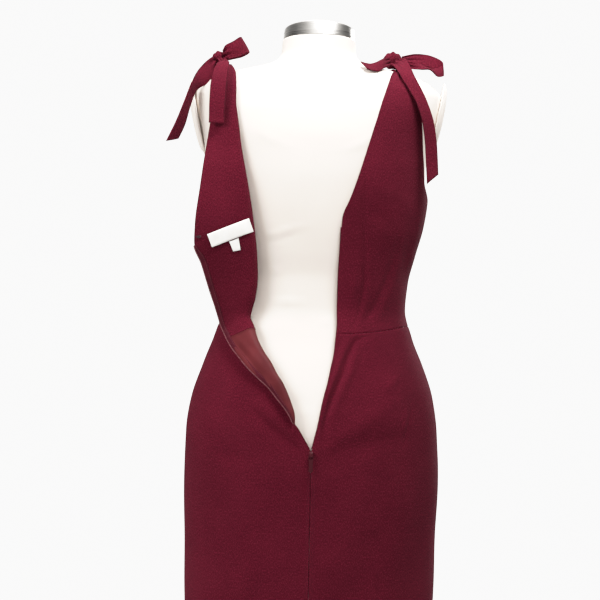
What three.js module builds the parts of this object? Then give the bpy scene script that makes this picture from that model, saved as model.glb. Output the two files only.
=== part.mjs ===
// A sheath dress with shoulder ties on a dress form, seen open at the back.
// Millimetres, +Z up. The floor is z = 0, the open back faces -Y and the wearer's right is +X.
import * as THREE from "three";

// Driving sizes
const CLOTH = 1.5; // crepe wall
const THIN = 1.0; // facing, lining, zip tape and labels
const SEAM = 0.35; // gap between pieces that are sewn together
const EASE = 2.1; // from the form to the middle of the cloth where it rests on the shoulders
const ROUND = 2.3; // how square a section is: 2 is an ellipse
const HEM = 420;
const WAIST = 1056; // waist seam at the sides
const WAIST_DIP = 13; // the seam is this much lower at the centre back
const SHOULDER = 1350; // above this level rows fan out over the shoulder, one degree a step
const STRAP_END = 1422; // the last row, 72 degrees round the shoulder
const UNDERARM = 1229;
const NECK_POINT = 1207; // lower end of the back neckline on the right
const SLIDER = 878; // lower end of the zip opening
const SIDE_RIGHT = 99; // side seams, in degrees from the centre back
const SIDE_LEFT = -83;
const SEAM_TURN = 0.15; // the side seams' gap, in degrees
const NECK_TILT = THREE.MathUtils.degToRad(7);
const PLATE_SLOPE = 0.2; // the arm plates lean in downwards

const radians = THREE.MathUtils.degToRad;
const mix = THREE.MathUtils.lerp;
const ease = THREE.MathUtils.smoothstep;
const clamp = THREE.MathUtils.clamp;

// A table has named columns; its first column is what the rest are read at.
function table(names, rows) {
  const sorted = [...rows].sort((a, b) => a[0] - b[0]);
  const at = sorted.map((row) => row[0]);
  return { names, at, rows: sorted };
}

// Reads one column smoothly, without swinging past the rows on either side.
function read(source, name, where) {
  const k = source.names.indexOf(name);
  const { at, rows } = source;
  const last = at.length - 1;
  if (where <= at[0]) return rows[0][k];
  if (where >= at[last]) return rows[last][k];
  const i = at.findIndex((a) => a > where) - 1;
  const slope = (j) => (rows[j + 1][k] - rows[j][k]) / (at[j + 1] - at[j]);
  const tangent = (j) => {
    if (j === 0) return slope(0);
    if (j === last) return slope(last - 1);
    const [a, b] = [slope(j - 1), slope(j)];
    return a * b <= 0 ? 0 : (2 * a * b) / (a + b);
  };
  const step = at[i + 1] - at[i];
  const t = (where - at[i]) / step;
  const [p, q] = [rows[i][k], rows[i + 1][k]];
  const [m, n] = [tangent(i) * step, tangent(i + 1) * step];
  const rise = t * t * (3 - 2 * t);
  return p + (q - p) * rise + m * t * (1 - t) * (1 - t) - n * t * t * (1 - t);
}

// The form's level sections: half width, depth behind and depth in front of the middle.
const FORM = table(["z", "half", "back", "front"], [
  [740, 150, 95, 85],
  [760, 160, 105, 92],
  [800, 168, 116, 98],
  [850, 171, 124, 103],
  [900, 169, 126, 108],
  [950, 160, 118, 110],
  [1000, 145, 104, 108],
  [1040, 130, 92, 102],
  [1080, 121, 84, 96],
  [1120, 126, 86, 98],
  [1160, 138, 94, 108],
  [1200, 150, 102, 122],
  [1240, 157, 108, 130],
  [1280, 161, 112, 124],
  [1320, 168, 113, 108],
  [1360, 180, 108, 86],
  [1390, 184, 96, 66],
  [1410, 170, 80, 52],
  [1425, 141, 66, 46],
  [1433, 106, 58, 48],
  [1441, 73, 52, 54],
  [1448, 60.5, 46.5, 59],
  [1456, 55.5, 43.5, 64],
  [1474, 54, 42, 66],
]);

// The dress where it hangs clear of the form, below the bust.
const DRESS = table(["z", "half", "back", "front"], [
  [HEM, 178, 112, 104],
  [600, 181, 118, 108],
  [750, 184, 124, 112],
  [850, 186, 131, 114],
  [900, 184, 133, 117],
  [950, 176, 128, 118],
  [1000, 160, 116, 115],
  [1040, 145, 104, 108],
  [1080, 135, 94, 103],
  [1120, 138, 96, 105],
  [1160, 148, 101, 113],
  [1200, 159, 108, 128],
  [1240, 165, 114, 136],
  [1280, 168, 117, 131],
  [1320, 173, 118, 115],
]);

// Where the cut edges of the right back run, as distances from the middle.
const NECK_RIGHT = table(["level", "x"], [
  [SLIDER, 0.2],
  [882, 1.6],
  [896, 5],
  [918, 10.2],
  [951, 16],
  [976, 21.6],
  [1007, 26.6],
  [1023, 29.2],
  [1050, 31.5],
  [1073, 33.5],
  [1120, 34.2],
  [1162, 35.8],
  [NECK_POINT, 38],
  [1217, 40.5],
  [1231, 47],
  [1261, 58],
  [1312, 73.6],
  [SHOULDER, 85],
  [1363, 91],
  [1380, 99],
  [1400, 106],
  [STRAP_END, 112],
]);
const ARMHOLE_RIGHT = table(["level", "x"], [
  [1265, 158],
  [1313, 154],
  [SHOULDER, 151.5],
  [1363, 150],
  [1380, 148],
  [1400, 145],
  [STRAP_END, 140],
]);
const ARMHOLE_LEFT = table(["level", "x"], [
  [1265, 159],
  [1313, 156],
  [SHOULDER, 155],
  [1363, 154.5],
  [1380, 154],
  [1400, 151],
  [STRAP_END, 147],
]);
// The front is a plain V between the same straps.
const FRONT_POINT = 1285;
const FRONT_NECK = table(["level", "share"], [
  [FRONT_POINT, 0],
  [1318, 0.24],
  [SHOULDER, 0.46],
  [1363, 0.56],
  [1380, 0.72],
  [1400, 0.88],
  [STRAP_END, 1],
]);
const FRONT_ARMHOLE = table(["level", "x"], [
  [1265, 147],
  [1313, 138],
  [SHOULDER, 137],
  [1380, 138],
  [1400, 139],
  [STRAP_END, 140],
]);

// The left back is turned outward along a soft roll. fold is the roll's outermost line, edge the
// free edge, drop how much lower the edge lies, roll the radius and stand how far the edge stands off.
const FLAP = table(["level", "fold", "edge", "drop", "roll", "stand"], [
  [SLIDER, -1.2, -1.0, 0, 1.0, -1.2],
  [882, -3.6, -3.4, 0, 1.2, -1.0],
  [892, -9, -9.4, 0, 1.8, -0.8],
  [905, -15.5, -17, 0, 2.6, -0.8],
  [919, -21.5, -25, 1, 3.4, -1],
  [934, -26.7, -32.5, 3, 4, -1],
  [958, -35.4, -49.5, 5, 4.2, -3],
  [976, -43, -62, 6, 4.6, -5],
  [989, -50.3, -74, 7, 5, -5],
  [1009, -60, -91, 9, 5.5, -6],
  [1026, -71, -104, 10, 6, -9],
  [1043, -80, -115.5, 13, 6.5, -13],
  [1060, -86, -125, 15, 7, -18],
  [1071, -91.5, -131.5, 15, 7, -22],
  [1083, -89, -136, 15, 7.5, -23],
  [1100, -84.5, -141.5, 15, 8, -22],
  [1123, -82, -149, 18, 8.5, -20],
  [1160, -84, -160.5, 22, 9, -16],
  [1200, -89, -172.5, 29, 9, -13],
  [1226, -93, -171.5, 26, 8.5, -12],
  [1264, -100, -166, 16, 7.5, -14],
  [1303, -108, -160.5, 11, 6, -15],
  [SHOULDER, -115, -153.5, 7, 4.2, -16],
  [1363, -118, -151, 5, 3.4, -13],
  [1380, -118.5, -147, 3, 2.8, -9],
  [1400, -121, -141, 1, 2.2, -5],
  [STRAP_END, -123, -131.5, 0, 1.7, 0],
]);

// Sections of the form and of the cloth
function formSection(z) {
  return ["half", "back", "front"].map((name) => read(FORM, name, z));
}

function clothSection(z) {
  const rests = ease(z, 1280, 1345);
  const onForm = formSection(z - EASE).map((size) => size + EASE);
  const hangs = ["half", "back", "front"].map((name) => read(DRESS, name, z));
  return hangs.map((size, i) => mix(size, onForm[i], rests));
}

const power = (value, exponent) => Math.sign(value) * Math.abs(value) ** exponent;

// A point at an angle from the centre back, positive towards +X.
function aroundSection([half, back, front], degrees, z) {
  const a = radians(degrees);
  const depth = Math.cos(a) > 0 ? back : front;
  return new THREE.Vector3(
    half * power(Math.sin(a), 2 / ROUND),
    -depth * power(Math.cos(a), 2 / ROUND),
    z,
  );
}

function depthAt([half, back, front], x, face) {
  const share = clamp(1 - (Math.abs(x) / half) ** ROUND, 0, 1);
  return (face < 0 ? back : front) * share ** (1 / ROUND);
}

function angleAt(x, z) {
  const share = clamp(Math.abs(x) / clothSection(z)[0], 0, 1);
  return THREE.MathUtils.radToDeg(Math.asin(share ** (ROUND / 2))) * Math.sign(x);
}

// Below the shoulder a row is level. Above it the rows turn about the line y = 0, z = SHOULDER.
const turnOf = (level) => radians(Math.max(0, level - SHOULDER));
const baseOf = (level) => Math.min(level, SHOULDER);

function onRow(level, x, reach, face, lower = 0) {
  const turn = turnOf(level);
  const y = face * reach * Math.cos(turn);
  return new THREE.Vector3(x, y, baseOf(level) + reach * Math.sin(turn) - lower);
}

// How far the middle of the cloth lies from the row's line, at x.
function clothReach(level, x, face, lower = 0) {
  const turn = turnOf(level);
  if (turn === 0) return depthAt(clothSection(level - lower), x, face);
  let [inside, outside] = [0, 160];
  for (let i = 0; i < 30; i++) {
    const reach = (inside + outside) / 2;
    const z = SHOULDER + reach * Math.sin(turn);
    const depth = depthAt(clothSection(z), x, face);
    if (reach * Math.cos(turn) < depth) inside = reach;
    else outside = reach;
  }
  return inside;
}

const clothPoint = (level, x, face) => onRow(level, x, clothReach(level, x, face), face);

// The waist seam dips towards the centre back, and the rows near it follow.
function dipAt(degrees, level) {
  const near = 1 - ease(Math.abs(level - WAIST), 0, 120);
  const middle = 1 - ease(Math.abs(degrees), 10, 80);
  return WAIST_DIP * near * middle;
}

// Walls

// Closes a sheet of quads into a wall: its points are moved both ways along their normals.
function wall(points, normals, quads, thickness) {
  const half = thickness / 2;
  const count = points.length;
  const place = [];
  for (const side of [half, -half]) {
    points.forEach((p, i) => place.push(...p.clone().addScaledVector(normals[i], side)));
  }
  const index = [];
  const seen = new Map();
  for (const [a, b, c, d] of quads) {
    index.push(a, b, c, a, c, d);
    index.push(a + count, c + count, b + count, a + count, d + count, c + count);
    for (const [from, to] of [[a, b], [b, c], [c, d], [d, a]]) seen.set(`${from},${to}`, [from, to]);
  }
  for (const [from, to] of seen.values()) {
    if (seen.has(`${to},${from}`)) continue;
    index.push(to, from, from + count, to, from + count, to + count);
  }
  return solid(place, index);
}

// A geometry whose faces point out.
function solid(place, index) {
  const at = (i) => new THREE.Vector3(place[3 * i], place[3 * i + 1], place[3 * i + 2]);
  let volume = 0;
  for (let i = 0; i < index.length; i += 3) {
    const [a, b, c] = [at(index[i]), at(index[i + 1]), at(index[i + 2])];
    volume += a.dot(b.cross(c));
  }
  const geometry = new THREE.BufferGeometry();
  geometry.setAttribute("position", new THREE.Float32BufferAttribute(place, 3));
  geometry.setIndex(volume > 0 ? index : index.reverse());
  geometry.computeVertexNormals();
  return geometry;
}

// A grid is rows of points. Its normals point along columns x rows.
function gridNormals(rows) {
  return rows.map((row, i) => row.map((_, j) => {
    const along = new THREE.Vector3().subVectors(
      row[Math.min(j + 1, row.length - 1)], row[Math.max(j - 1, 0)]);
    const up = new THREE.Vector3().subVectors(
      rows[Math.min(i + 1, rows.length - 1)][j], rows[Math.max(i - 1, 0)][j]);
    return along.cross(up).normalize();
  }));
}

function gridQuads(rowCount, columnCount) {
  const quads = [];
  for (let i = 0; i + 1 < rowCount; i++) {
    for (let j = 0; j + 1 < columnCount; j++) {
      const a = i * columnCount + j;
      quads.push([a, a + 1, a + 1 + columnCount, a + columnCount]);
    }
  }
  return quads;
}

function gridWall(rows, thickness, normals = gridNormals(rows)) {
  const quads = gridQuads(rows.length, rows[0].length);
  return wall(rows.flat(), normals.flat(), quads, thickness);
}

const steps = (from, to, count) => Array.from({ length: count }, (_, i) => mix(from, to, i / (count - 1)));

// The part
const part = new THREE.Group();
const finish = (color, roughness, metalness = 0) =>
  new THREE.MeshStandardMaterial({ color, roughness, metalness });
const CREPE = finish(0x5f1b28, 0.85);
const SATIN = finish(0x6b2a2a, 0.5);
const COVER = finish(0xf3ece4, 0.9);
const STEEL = finish(0xb9b5ae, 0.3, 1);
const WHITE = finish(0xf1efea, 0.8);
const ZIP = finish(0x4c1420, 0.4);
const HOOK = finish(0x2a2426, 0.4, 1);

function add(name, geometry, material, parent = part) {
  const mesh = new THREE.Mesh(geometry, material);
  mesh.name = name;
  parent.add(mesh);
  return mesh;
}

// The dress form: a padded torso that narrows into a tilted neck, cut flat where the arm plates sit.
const FORM_BASE = 740;
const FORM_TOP = 1474;
const NECK_MIDDLE = 12; // the neck's centre lies this far in front
const PLATE_MIDDLE = 1362;
const PLATE_X = 175; // the plane of the plate at its middle

const plateX = (z) => PLATE_X + (z - PLATE_MIDDLE) * PLATE_SLOPE;

function formTorso() {
  const levels = [
    ...steps(FORM_BASE, 1360, 21),
    1375, 1390, 1400, 1410, 1418, 1425, 1430, 1435, 1440, 1447, 1455, 1464, FORM_TOP,
  ];
  const round = 32;
  const place = [];
  for (const z of levels) {
    const tilt = Math.tan(NECK_TILT) * ease(z, 1436, 1464);
    for (let j = 0; j < round; j++) {
      const p = aroundSection(formSection(z), (360 * j) / round, z);
      p.z -= (p.y - NECK_MIDDLE) * tilt;
      if (z > PLATE_MIDDLE - 75) p.x = clamp(p.x, -plateX(z), plateX(z));
      place.push(...p);
    }
  }
  const index = [];
  const last = levels.length - 1;
  for (let i = 0; i < last; i++) {
    for (let j = 0; j < round; j++) {
      const [a, b] = [i * round + j, i * round + ((j + 1) % round)];
      index.push(a, b, b + round, a, b + round, a + round);
    }
  }
  for (let j = 1; j + 1 < round; j++) {
    index.push(0, j + 1, j);
    index.push(last * round, last * round + j, last * round + j + 1);
  }
  return solid(place, index);
}
add("form_torso", formTorso(), COVER);

const lathe = (profile, sides) =>
  new THREE.LatheGeometry(profile.map(([r, z]) => new THREE.Vector2(r, z)), sides).rotateX(Math.PI / 2);

const CAP_HEIGHT = 23;
const cap = add("form_neck_cap", lathe([
  [0, 0], [53.6, 0], [53.9, 1], [52.2, CAP_HEIGHT - 2.5], [50.5, CAP_HEIGHT - 0.8], [48, CAP_HEIGHT],
  [0, CAP_HEIGHT],
], 36), STEEL);
cap.position.set(0, NECK_MIDDLE, FORM_TOP + 0.3);
cap.rotation.x = -NECK_TILT;

// A shallow dome, oval, closed by a flat back.
function armPlate() {
  const plate = lathe([[0, 0], [1, 0], [1, 2.4], [0.93, 5], [0.7, 8], [0.36, 10], [0, 10.6]], 22);
  return plate.scale(57, 42, 1).rotateY(Math.PI / 2);
}
for (const [name, side] of [["left", -1], ["right", 1]]) {
  const plate = add(`form_arm_plate_${name}`, armPlate(), COVER);
  plate.position.set(side * (PLATE_X + 0.3), 0, PLATE_MIDDLE);
  plate.rotation.y = Math.atan(PLATE_SLOPE) * side + (side < 0 ? Math.PI : 0);
}

const BASE_RADIUS = 170;
const BASE_HEIGHT = 14;
const POLE_RADIUS = 14;
add("form_base", lathe([
  [0, 0], [BASE_RADIUS - 2, 0], [BASE_RADIUS, 2], [BASE_RADIUS, 5], [BASE_RADIUS - 5, 8.5],
  [60, 12], [26, BASE_HEIGHT], [0, BASE_HEIGHT],
], 40), STEEL);
const pole = add("form_pole", lathe([
  [0, 0], [20, 0], [20, 18], [POLE_RADIUS, 24], [POLE_RADIUS, FORM_BASE - BASE_HEIGHT - 0.6],
  [0, FORM_BASE - BASE_HEIGHT - 0.6],
], 24), STEEL);
pole.position.z = BASE_HEIGHT + 0.3;

// Right back: one panel above the waist seam and one below it, level rows from the open edge
// to the side seam or the armhole.
const BODICE_LEVELS = [
  WAIST, 1071, 1090, 1112, 1136, 1160, 1180, 1200, NECK_POINT, 1217, UNDERARM, 1240, 1252, 1265,
  1285, 1306, 1328, SHOULDER, 1360, 1370, 1380, 1390, 1400, 1411, STRAP_END,
];
const SKIRT_LEVELS = [
  ...steps(HEM, 800, 6), 840, SLIDER, 884, 894, 906, 919, 934, 955, 976, 999, 1026, 1042, WAIST,
];

// The edge under the arm leaves the side seam and swings to the armhole's line.
function outerAngle(side, level, armhole) {
  const seam = side > 0 ? SIDE_RIGHT : SIDE_LEFT;
  if (level <= UNDERARM) return seam;
  const back = angleAt(side * read(armhole, "x", Math.max(level, 1265)), Math.min(level, SHOULDER));
  return mix(seam, back, ease(level, UNDERARM, 1265) ** 0.6);
}

function backRow(level, inner, armhole, side, columns) {
  const open = angleAt(side * inner, baseOf(level));
  const outer = outerAngle(side, level, armhole);
  const innerX = side * inner;
  const outerX = side * read(armhole, "x", level);
  return steps(0, 1, columns).map((t) => {
    const degrees = mix(open, outer, t);
    if (level <= UNDERARM) {
      const z = level - dipAt(degrees, level);
      return aroundSection(clothSection(z), degrees, z);
    }
    const level2 = baseOf(level);
    const byAngle = aroundSection(clothSection(level2), degrees, level2);
    if (level < 1265) return byAngle;
    const straight = ease(level, 1265, SHOULDER);
    const x = mix(byAngle.x, mix(innerX, outerX, t), straight);
    return clothPoint(level, x, -1);
  });
}

const BACK_COLUMNS = 11;
const backRight = (levels) => levels.map((level) =>
  backRow(level, read(NECK_RIGHT, "x", level), ARMHOLE_RIGHT, 1, BACK_COLUMNS));
const bodiceRight = backRight(BODICE_LEVELS);
add("bodice_back_right", gridWall(bodiceRight, CLOTH), CREPE);
const skirtRight = backRight(SKIRT_LEVELS);
skirtRight[skirtRight.length - 1].forEach((p) => { p.z -= SEAM; });
add("skirt_back_right", gridWall(skirtRight, CLOTH), CREPE);

// Left back: from the side seam along the body to the roll, round it, and out to the free edge.
const UNDER_COLUMNS = 7;
const ROLL_COLUMNS = 7;
const OVER_COLUMNS = 7;

const FLAT_FROM = -45; // below the slider the roll's columns spread out from here
const TURNED = 934; // from this level up the edge is fully turned

// A row as places: x, reach from the row's line, and how much lower it lies.
function turnedPlaces(level) {
  const [fold, edge, drop, roll, stand] =
    ["fold", "edge", "drop", "roll", "stand"].map((name) => read(FLAP, name, level));
  const start = fold - roll;
  const places = underPlaces(level, start);
  const [, under, low] = places[places.length - 1];
  const back = Math.min(roll, Math.max(0, (fold - edge) / 2));
  for (const t of steps(0, 1, ROLL_COLUMNS).slice(1)) {
    const a = Math.PI * t;
    const out = a < Math.PI / 2 ? roll : back;
    places.push([fold - out + out * Math.sin(a), under + roll * (1 - Math.cos(a)), low]);
  }
  const [fromX, fromReach] = places[places.length - 1];
  for (const t of steps(0, 1, OVER_COLUMNS).slice(1)) {
    places.push([mix(fromX, edge, t), fromReach + stand * standShape(t), low + drop * t]);
  }
  return places;
}

const standShape = (t) => t * t * (1.6 - 0.6 * t);

function underPlaces(level, inner) {
  const outer = outerAngle(-1, level, ARMHOLE_LEFT);
  const outerX = -read(ARMHOLE_LEFT, "x", level);
  const innerAngle = angleAt(inner, baseOf(level));
  const straight = ease(level, 1265, SHOULDER);
  return steps(0, 1, UNDER_COLUMNS).map((t) => {
    const degrees = mix(outer, innerAngle, t);
    const lower = dipAt(degrees, level);
    const z = baseOf(level) - lower;
    const around = aroundSection(clothSection(z), degrees, z);
    if (level < 1265) return [around.x, -around.y, lower];
    const x = mix(around.x, mix(outerX, inner, t), straight);
    return [x, clothReach(level, x, -1), 0];
  });
}

function flatPlaces(level) {
  const edge = level > SLIDER ? read(FLAP, "edge", level) : -SEAM / 2;
  const places = underPlaces(level, FLAT_FROM);
  for (const t of steps(0, 1, ROLL_COLUMNS + OVER_COLUMNS - 1).slice(1)) {
    const x = mix(FLAT_FROM, edge, t);
    const lower = dipAt(angleAt(x, level), level);
    places.push([x, clothReach(level, x, -1, lower), lower]);
  }
  return places;
}

function leftRow(level) {
  const turned = ease(level, SLIDER, TURNED);
  const flat = turned < 1 ? flatPlaces(level) : null;
  const full = turned > 0 ? turnedPlaces(level) : flat;
  return full.map((place, i) => {
    const [x, reach, lower] = place.map((value, k) => (flat ? mix(flat[i][k], value, turned) : value));
    return onRow(level, x, reach, -1, lower);
  });
}

const bodiceLeft = BODICE_LEVELS.map(leftRow);
add("bodice_back_left", gridWall(bodiceLeft, CLOTH), CREPE);
const skirtLeft = SKIRT_LEVELS.map(leftRow);
skirtLeft[skirtLeft.length - 1].forEach((p) => { p.z -= SEAM; });
add("skirt_back_left", gridWall(skirtLeft, CLOTH), CREPE);

// What is sewn onto the turned-out side lies above the panel's inside face.
const FACING_LIFT = CLOTH / 2 + 0.3 + THIN / 2;
const TRIM_LIFT = FACING_LIFT + THIN + 0.45;
const APEX = UNDER_COLUMNS + 2; // the column on the roll's outermost line

// A row's places and normals, at distances measured back from its last point.
function fromEdge(row, normals, distances) {
  const last = row.length - 1;
  const length = [0];
  for (let i = 1; i <= last; i++) {
    length.push(length[i - 1] + row[last - i].distanceTo(row[last - i + 1]));
  }
  return distances.map((distance) => {
    const i = clamp(length.findIndex((value) => value > distance), 1, last);
    const t = (distance - length[i - 1]) / (length[i] - length[i - 1]);
    const between = (list) => list[last - i + 1].clone().lerp(list[last - i], t);
    return { place: between(row), normal: between(normals).normalize() };
  });
}

function flapLength(row) {
  let length = 0;
  for (let i = APEX + 1; i < row.length; i++) length += row[i].distanceTo(row[i - 1]);
  return length;
}

// A strip sewn along a panel's edge, lifted off its inside face.
function trim(rows, distancesOf, liftOf) {
  const normals = gridNormals(rows);
  const lying = rows.map((row, i) => fromEdge(row, normals[i], distancesOf(row)));
  const places = lying.map((row, i) =>
    row.map(({ place, normal }) => place.addScaledVector(normal, -liftOf(i))));
  return gridWall(places, THIN, lying.map((row) => row.map(({ normal }) => normal)));
}

// The facing follows the panel's own columns, from just inside the edge to the outermost line.
const FACING_INSET = 1.2;
function facing(rows) {
  const normals = gridNormals(rows);
  const lying = rows.map((row, i) => row.slice(APEX).map((p, k) => {
    const normal = normals[i][APEX + k];
    return p.clone().addScaledVector(normal, -FACING_LIFT);
  }));
  for (const row of lying) {
    const [inner, outer] = row.slice(-2);
    outer.lerp(inner, Math.min(0.5, FACING_INSET / outer.distanceTo(inner)));
  }
  return gridWall(lying, THIN, normals.map((row) => row.slice(APEX)));
}

// Ends that meet another piece stop short of it.
function shortened(rows, end) {
  const [last, next] = end === "top" ? [rows.length - 1, rows.length - 2] : [0, 1];
  const copy = rows.map((row) => row.map((p) => p.clone()));
  copy[last] = copy[last].map((p, j) => p.lerp(copy[next][j], 0.08));
  return copy;
}

add("bodice_facing_left", facing(shortened(bodiceLeft, "bottom")), CREPE);
const LINING_END = 945;
const liningRows = skirtLeft.filter((_, i) => SKIRT_LEVELS[i] >= LINING_END);
add("skirt_lining_left", facing(shortened(liningRows, "top")), SATIN);

// Zip tapes: one along each open edge, its bead a little past the cloth.
const TAPE_TOP = 1203;
const tapeRows = (skirt, bodice) => [
  ...skirt.filter((_, i) => SKIRT_LEVELS[i] > SLIDER && SKIRT_LEVELS[i] < WAIST),
  ...bodice.filter((_, i) => BODICE_LEVELS[i] < TAPE_TOP),
];
const bareRows = SKIRT_LEVELS.filter((level) => level > SLIDER && level < LINING_END).length;
const tapeDistances = (width) => [-1.2, width * 0.4, width];
add("zip_tape_left", trim(tapeRows(skirtLeft, bodiceLeft),
  (row) => tapeDistances(Math.min(8, flapLength(row) * 0.25)),
  (i) => (i < bareRows ? FACING_LIFT + 0.7 : TRIM_LIFT)), ZIP);
const fromSide = (rows) => rows.map((row) => [...row].reverse());
const tapeRight = trim(
  tapeRows(fromSide(skirtRight), fromSide(bodiceRight)), () => tapeDistances(8), () => -FACING_LIFT);
add("zip_tape_right", tapeRight, ZIP);

// The slider stands just below the opening, with a slot across it for the pull's bar.
const SLIDER_WIDTH = 5;
const SLIDER_TOP = SLIDER - 0.6;
const SLIDER_TALL = 9;
const sliderBack = clothReach(SLIDER, 0, -1) + CLOTH / 2 + 0.4;
const SLOT = { out: 2.6, up: 2.8, wide: 1.8, tall: 2.2 };

function sliderSolid() {
  const side = new THREE.Shape();
  side.moveTo(0, 0);
  side.lineTo(3.2, 0);
  side.quadraticCurveTo(4.6, 0.4, 4.6, 2);
  side.lineTo(4.6, 5);
  side.quadraticCurveTo(4.4, 7.5, 2.2, SLIDER_TALL);
  side.lineTo(0, SLIDER_TALL);
  side.closePath();
  const slot = new THREE.Path();
  slot.absellipse(SLOT.out, SLOT.up, SLOT.wide / 2, SLOT.tall / 2, 0, Math.PI * 2, true);
  side.holes.push(slot);
  return new THREE.ExtrudeGeometry(side, { depth: SLIDER_WIDTH, bevelEnabled: false, curveSegments: 5 });
}
const slider = add("zip_slider", sliderSolid(), ZIP);
slider.position.set(SLIDER_WIDTH / 2, -sliderBack, SLIDER_TOP - SLIDER_TALL);
slider.rotation.set(Math.PI / 2, -Math.PI / 2, 0);

// The pull is a flat tab with a window. Its upper bar runs through the slot and is the hinge.
const PULL = { wide: 7.4, window: 5.8, tall: 3.8, bar: 0.7, thick: 0.8, tip: 23 };

function pullSolid() {
  const { wide, window, tall, bar, thick, tip } = PULL;
  const face = new THREE.Shape();
  face.moveTo(-wide / 2, bar / 2);
  face.lineTo(-wide / 2, -tall - 1.2);
  face.lineTo(-2.6, -tall - 3.5);
  face.lineTo(-3.1, -tip + 2);
  face.quadraticCurveTo(-3, -tip, 0, -tip);
  face.quadraticCurveTo(3, -tip, 3.1, -tip + 2);
  face.lineTo(2.6, -tall - 3.5);
  face.lineTo(wide / 2, -tall - 1.2);
  face.lineTo(wide / 2, bar / 2);
  face.closePath();
  const hole = new THREE.Path();
  hole.moveTo(-window / 2, -bar / 2);
  hole.lineTo(window / 2, -bar / 2);
  hole.lineTo(window / 2, -tall);
  hole.lineTo(-window / 2, -tall);
  hole.closePath();
  face.holes.push(hole);
  const plate = new THREE.ExtrudeGeometry(face, { depth: thick, bevelEnabled: false, curveSegments: 4 });
  return plate.translate(0, 0, -thick / 2).rotateX(Math.PI / 2);
}
const pull = add("zip_pull", pullSolid(), ZIP);
pull.position.set(0, -sliderBack - SLOT.out, SLIDER_TOP - SLIDER_TALL + SLOT.up);

// The turned-out side as seen from behind: its reach at a place x, z.
function flapReach(x, z) {
  let [level, t] = [z, 0];
  let places = [];
  for (let i = 0; i < 12; i++) {
    places = turnedPlaces(level);
    const [from, to] = [places[places.length - OVER_COLUMNS], places[places.length - 1]];
    t = clamp((x - from[0]) / (to[0] - from[0]), 0, 1);
    level = z + mix(from[2], to[2], t);
  }
  const from = places[places.length - OVER_COLUMNS];
  return from[1] + read(FLAP, "stand", level) * standShape(t);
}

// A flat piece with four corners as x, z, lying on the turned-out side.
function patch([a, b, c, d], lift, rows, columns) {
  return steps(0, 1, rows).map((v) => steps(0, 1, columns).map((u) => {
    const x = mix(mix(a[0], b[0], u), mix(d[0], c[0], u), v);
    const z = mix(mix(a[1], b[1], u), mix(d[1], c[1], u), v);
    return new THREE.Vector3(x, -flapReach(x, z) - lift * 1.06, z);
  }));
}
const LABEL = [[-153.6, 1180.5], [-94.4, 1204], [-87.5, 1185.5], [-146.5, 1162.3]];
const SIZE_TAB = [[-122, 1170.8], [-108.8, 1176], [-105.5, 1159], [-116, 1157]];
add("neck_label", gridWall(patch(LABEL, TRIM_LIFT, 4, 11), THIN), WHITE);
add("size_tab", gridWall(patch(SIZE_TAB, TRIM_LIFT, 4, 4), THIN), WHITE);

// A wire hook at the top of the zip on the left.
const HOOK_AT = [-166.5, 1177];
const hookPath = new THREE.CatmullRomCurve3([
  [-4, 0.9], [0, 1], [3.2, 0.9], [4.2, 0], [3.2, -0.9], [1, -1], [-1.5, -0.9],
].map(([x, z]) => new THREE.Vector3(x, 0, z)));
const wire = new THREE.Shape().absellipse(0, 0, 0.5, 0.5, 0, Math.PI * 2);
const hook = add("neck_hook", new THREE.ExtrudeGeometry(wire, {
  extrudePath: hookPath, steps: 18, curveSegments: 3,
}), HOOK);
hook.position.set(HOOK_AT[0], -flapReach(...HOOK_AT) - FACING_LIFT - THIN / 2 - 0.95, HOOK_AT[1]);
hook.rotation.set(0, radians(-12), -0.22);

// Front: one panel above the waist, with a plain V neck, and one below it.
const FRONT_HALF = 11; // columns from the side to the centre front
const LEFT_WIDER = 7; // the left strap reaches this much further out
const NECK_WIDE = { right: 112, left: 123 }; // half the neck's width at the straps' ends

function frontPoint(level, t, side) {
  const seam = side > 0 ? SIDE_RIGHT + SEAM_TURN : 360 + SIDE_LEFT - SEAM_TURN;
  const z = baseOf(level);
  const wider = side < 0 ? LEFT_WIDER * ease(level, 1265, SHOULDER) : 0;
  const armX = read(FRONT_ARMHOLE, "x", Math.max(level, 1265)) + wider;
  const armAngle = 180 - side * angleAt(armX, z);
  const swing = level <= UNDERARM ? 0 : ease(level, UNDERARM, 1265) ** 0.6;
  const outer = mix(seam, armAngle, swing);
  const neckX = read(FRONT_NECK, "share", level) * (side > 0 ? NECK_WIDE.right : NECK_WIDE.left);
  const inner = 180 - side * angleAt(neckX, z);
  const around = aroundSection(clothSection(z), mix(outer, inner, t), z);
  if (level <= FRONT_POINT) return around;
  const x = mix(around.x, side * mix(armX, neckX, t), ease(level, FRONT_POINT, SHOULDER));
  return clothPoint(level, x, 1);
}

function bodiceFront() {
  const whole = [...steps(WAIST, UNDERARM, 8), 1240, 1252, 1265, FRONT_POINT];
  const straps = BODICE_LEVELS.filter((level) => level > FRONT_POINT);
  const across = 2 * FRONT_HALF - 1;
  const points = [];
  for (const level of whole) {
    for (const t of steps(0, 1, FRONT_HALF)) points.push(frontPoint(level, t, 1));
    for (const t of steps(1, 0, FRONT_HALF).slice(1)) points.push(frontPoint(level, t, -1));
  }
  const quads = gridQuads(whole.length, across);
  const top = (whole.length - 1) * across;
  for (const side of [1, -1]) {
    const start = top + (side > 0 ? 0 : FRONT_HALF - 1);
    let below = Array.from({ length: FRONT_HALF }, (_, j) => start + j);
    for (const level of straps) {
      const along = side > 0 ? steps(0, 1, FRONT_HALF) : steps(1, 0, FRONT_HALF);
      const row = along.map((t) => points.push(frontPoint(level, t, side)) - 1);
      for (let j = 0; j + 1 < FRONT_HALF; j++) {
        quads.push([below[j], below[j + 1], row[j + 1], row[j]]);
      }
      below = row;
    }
  }
  return wall(points, sheetNormals(points, quads), quads, CLOTH);
}

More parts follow.
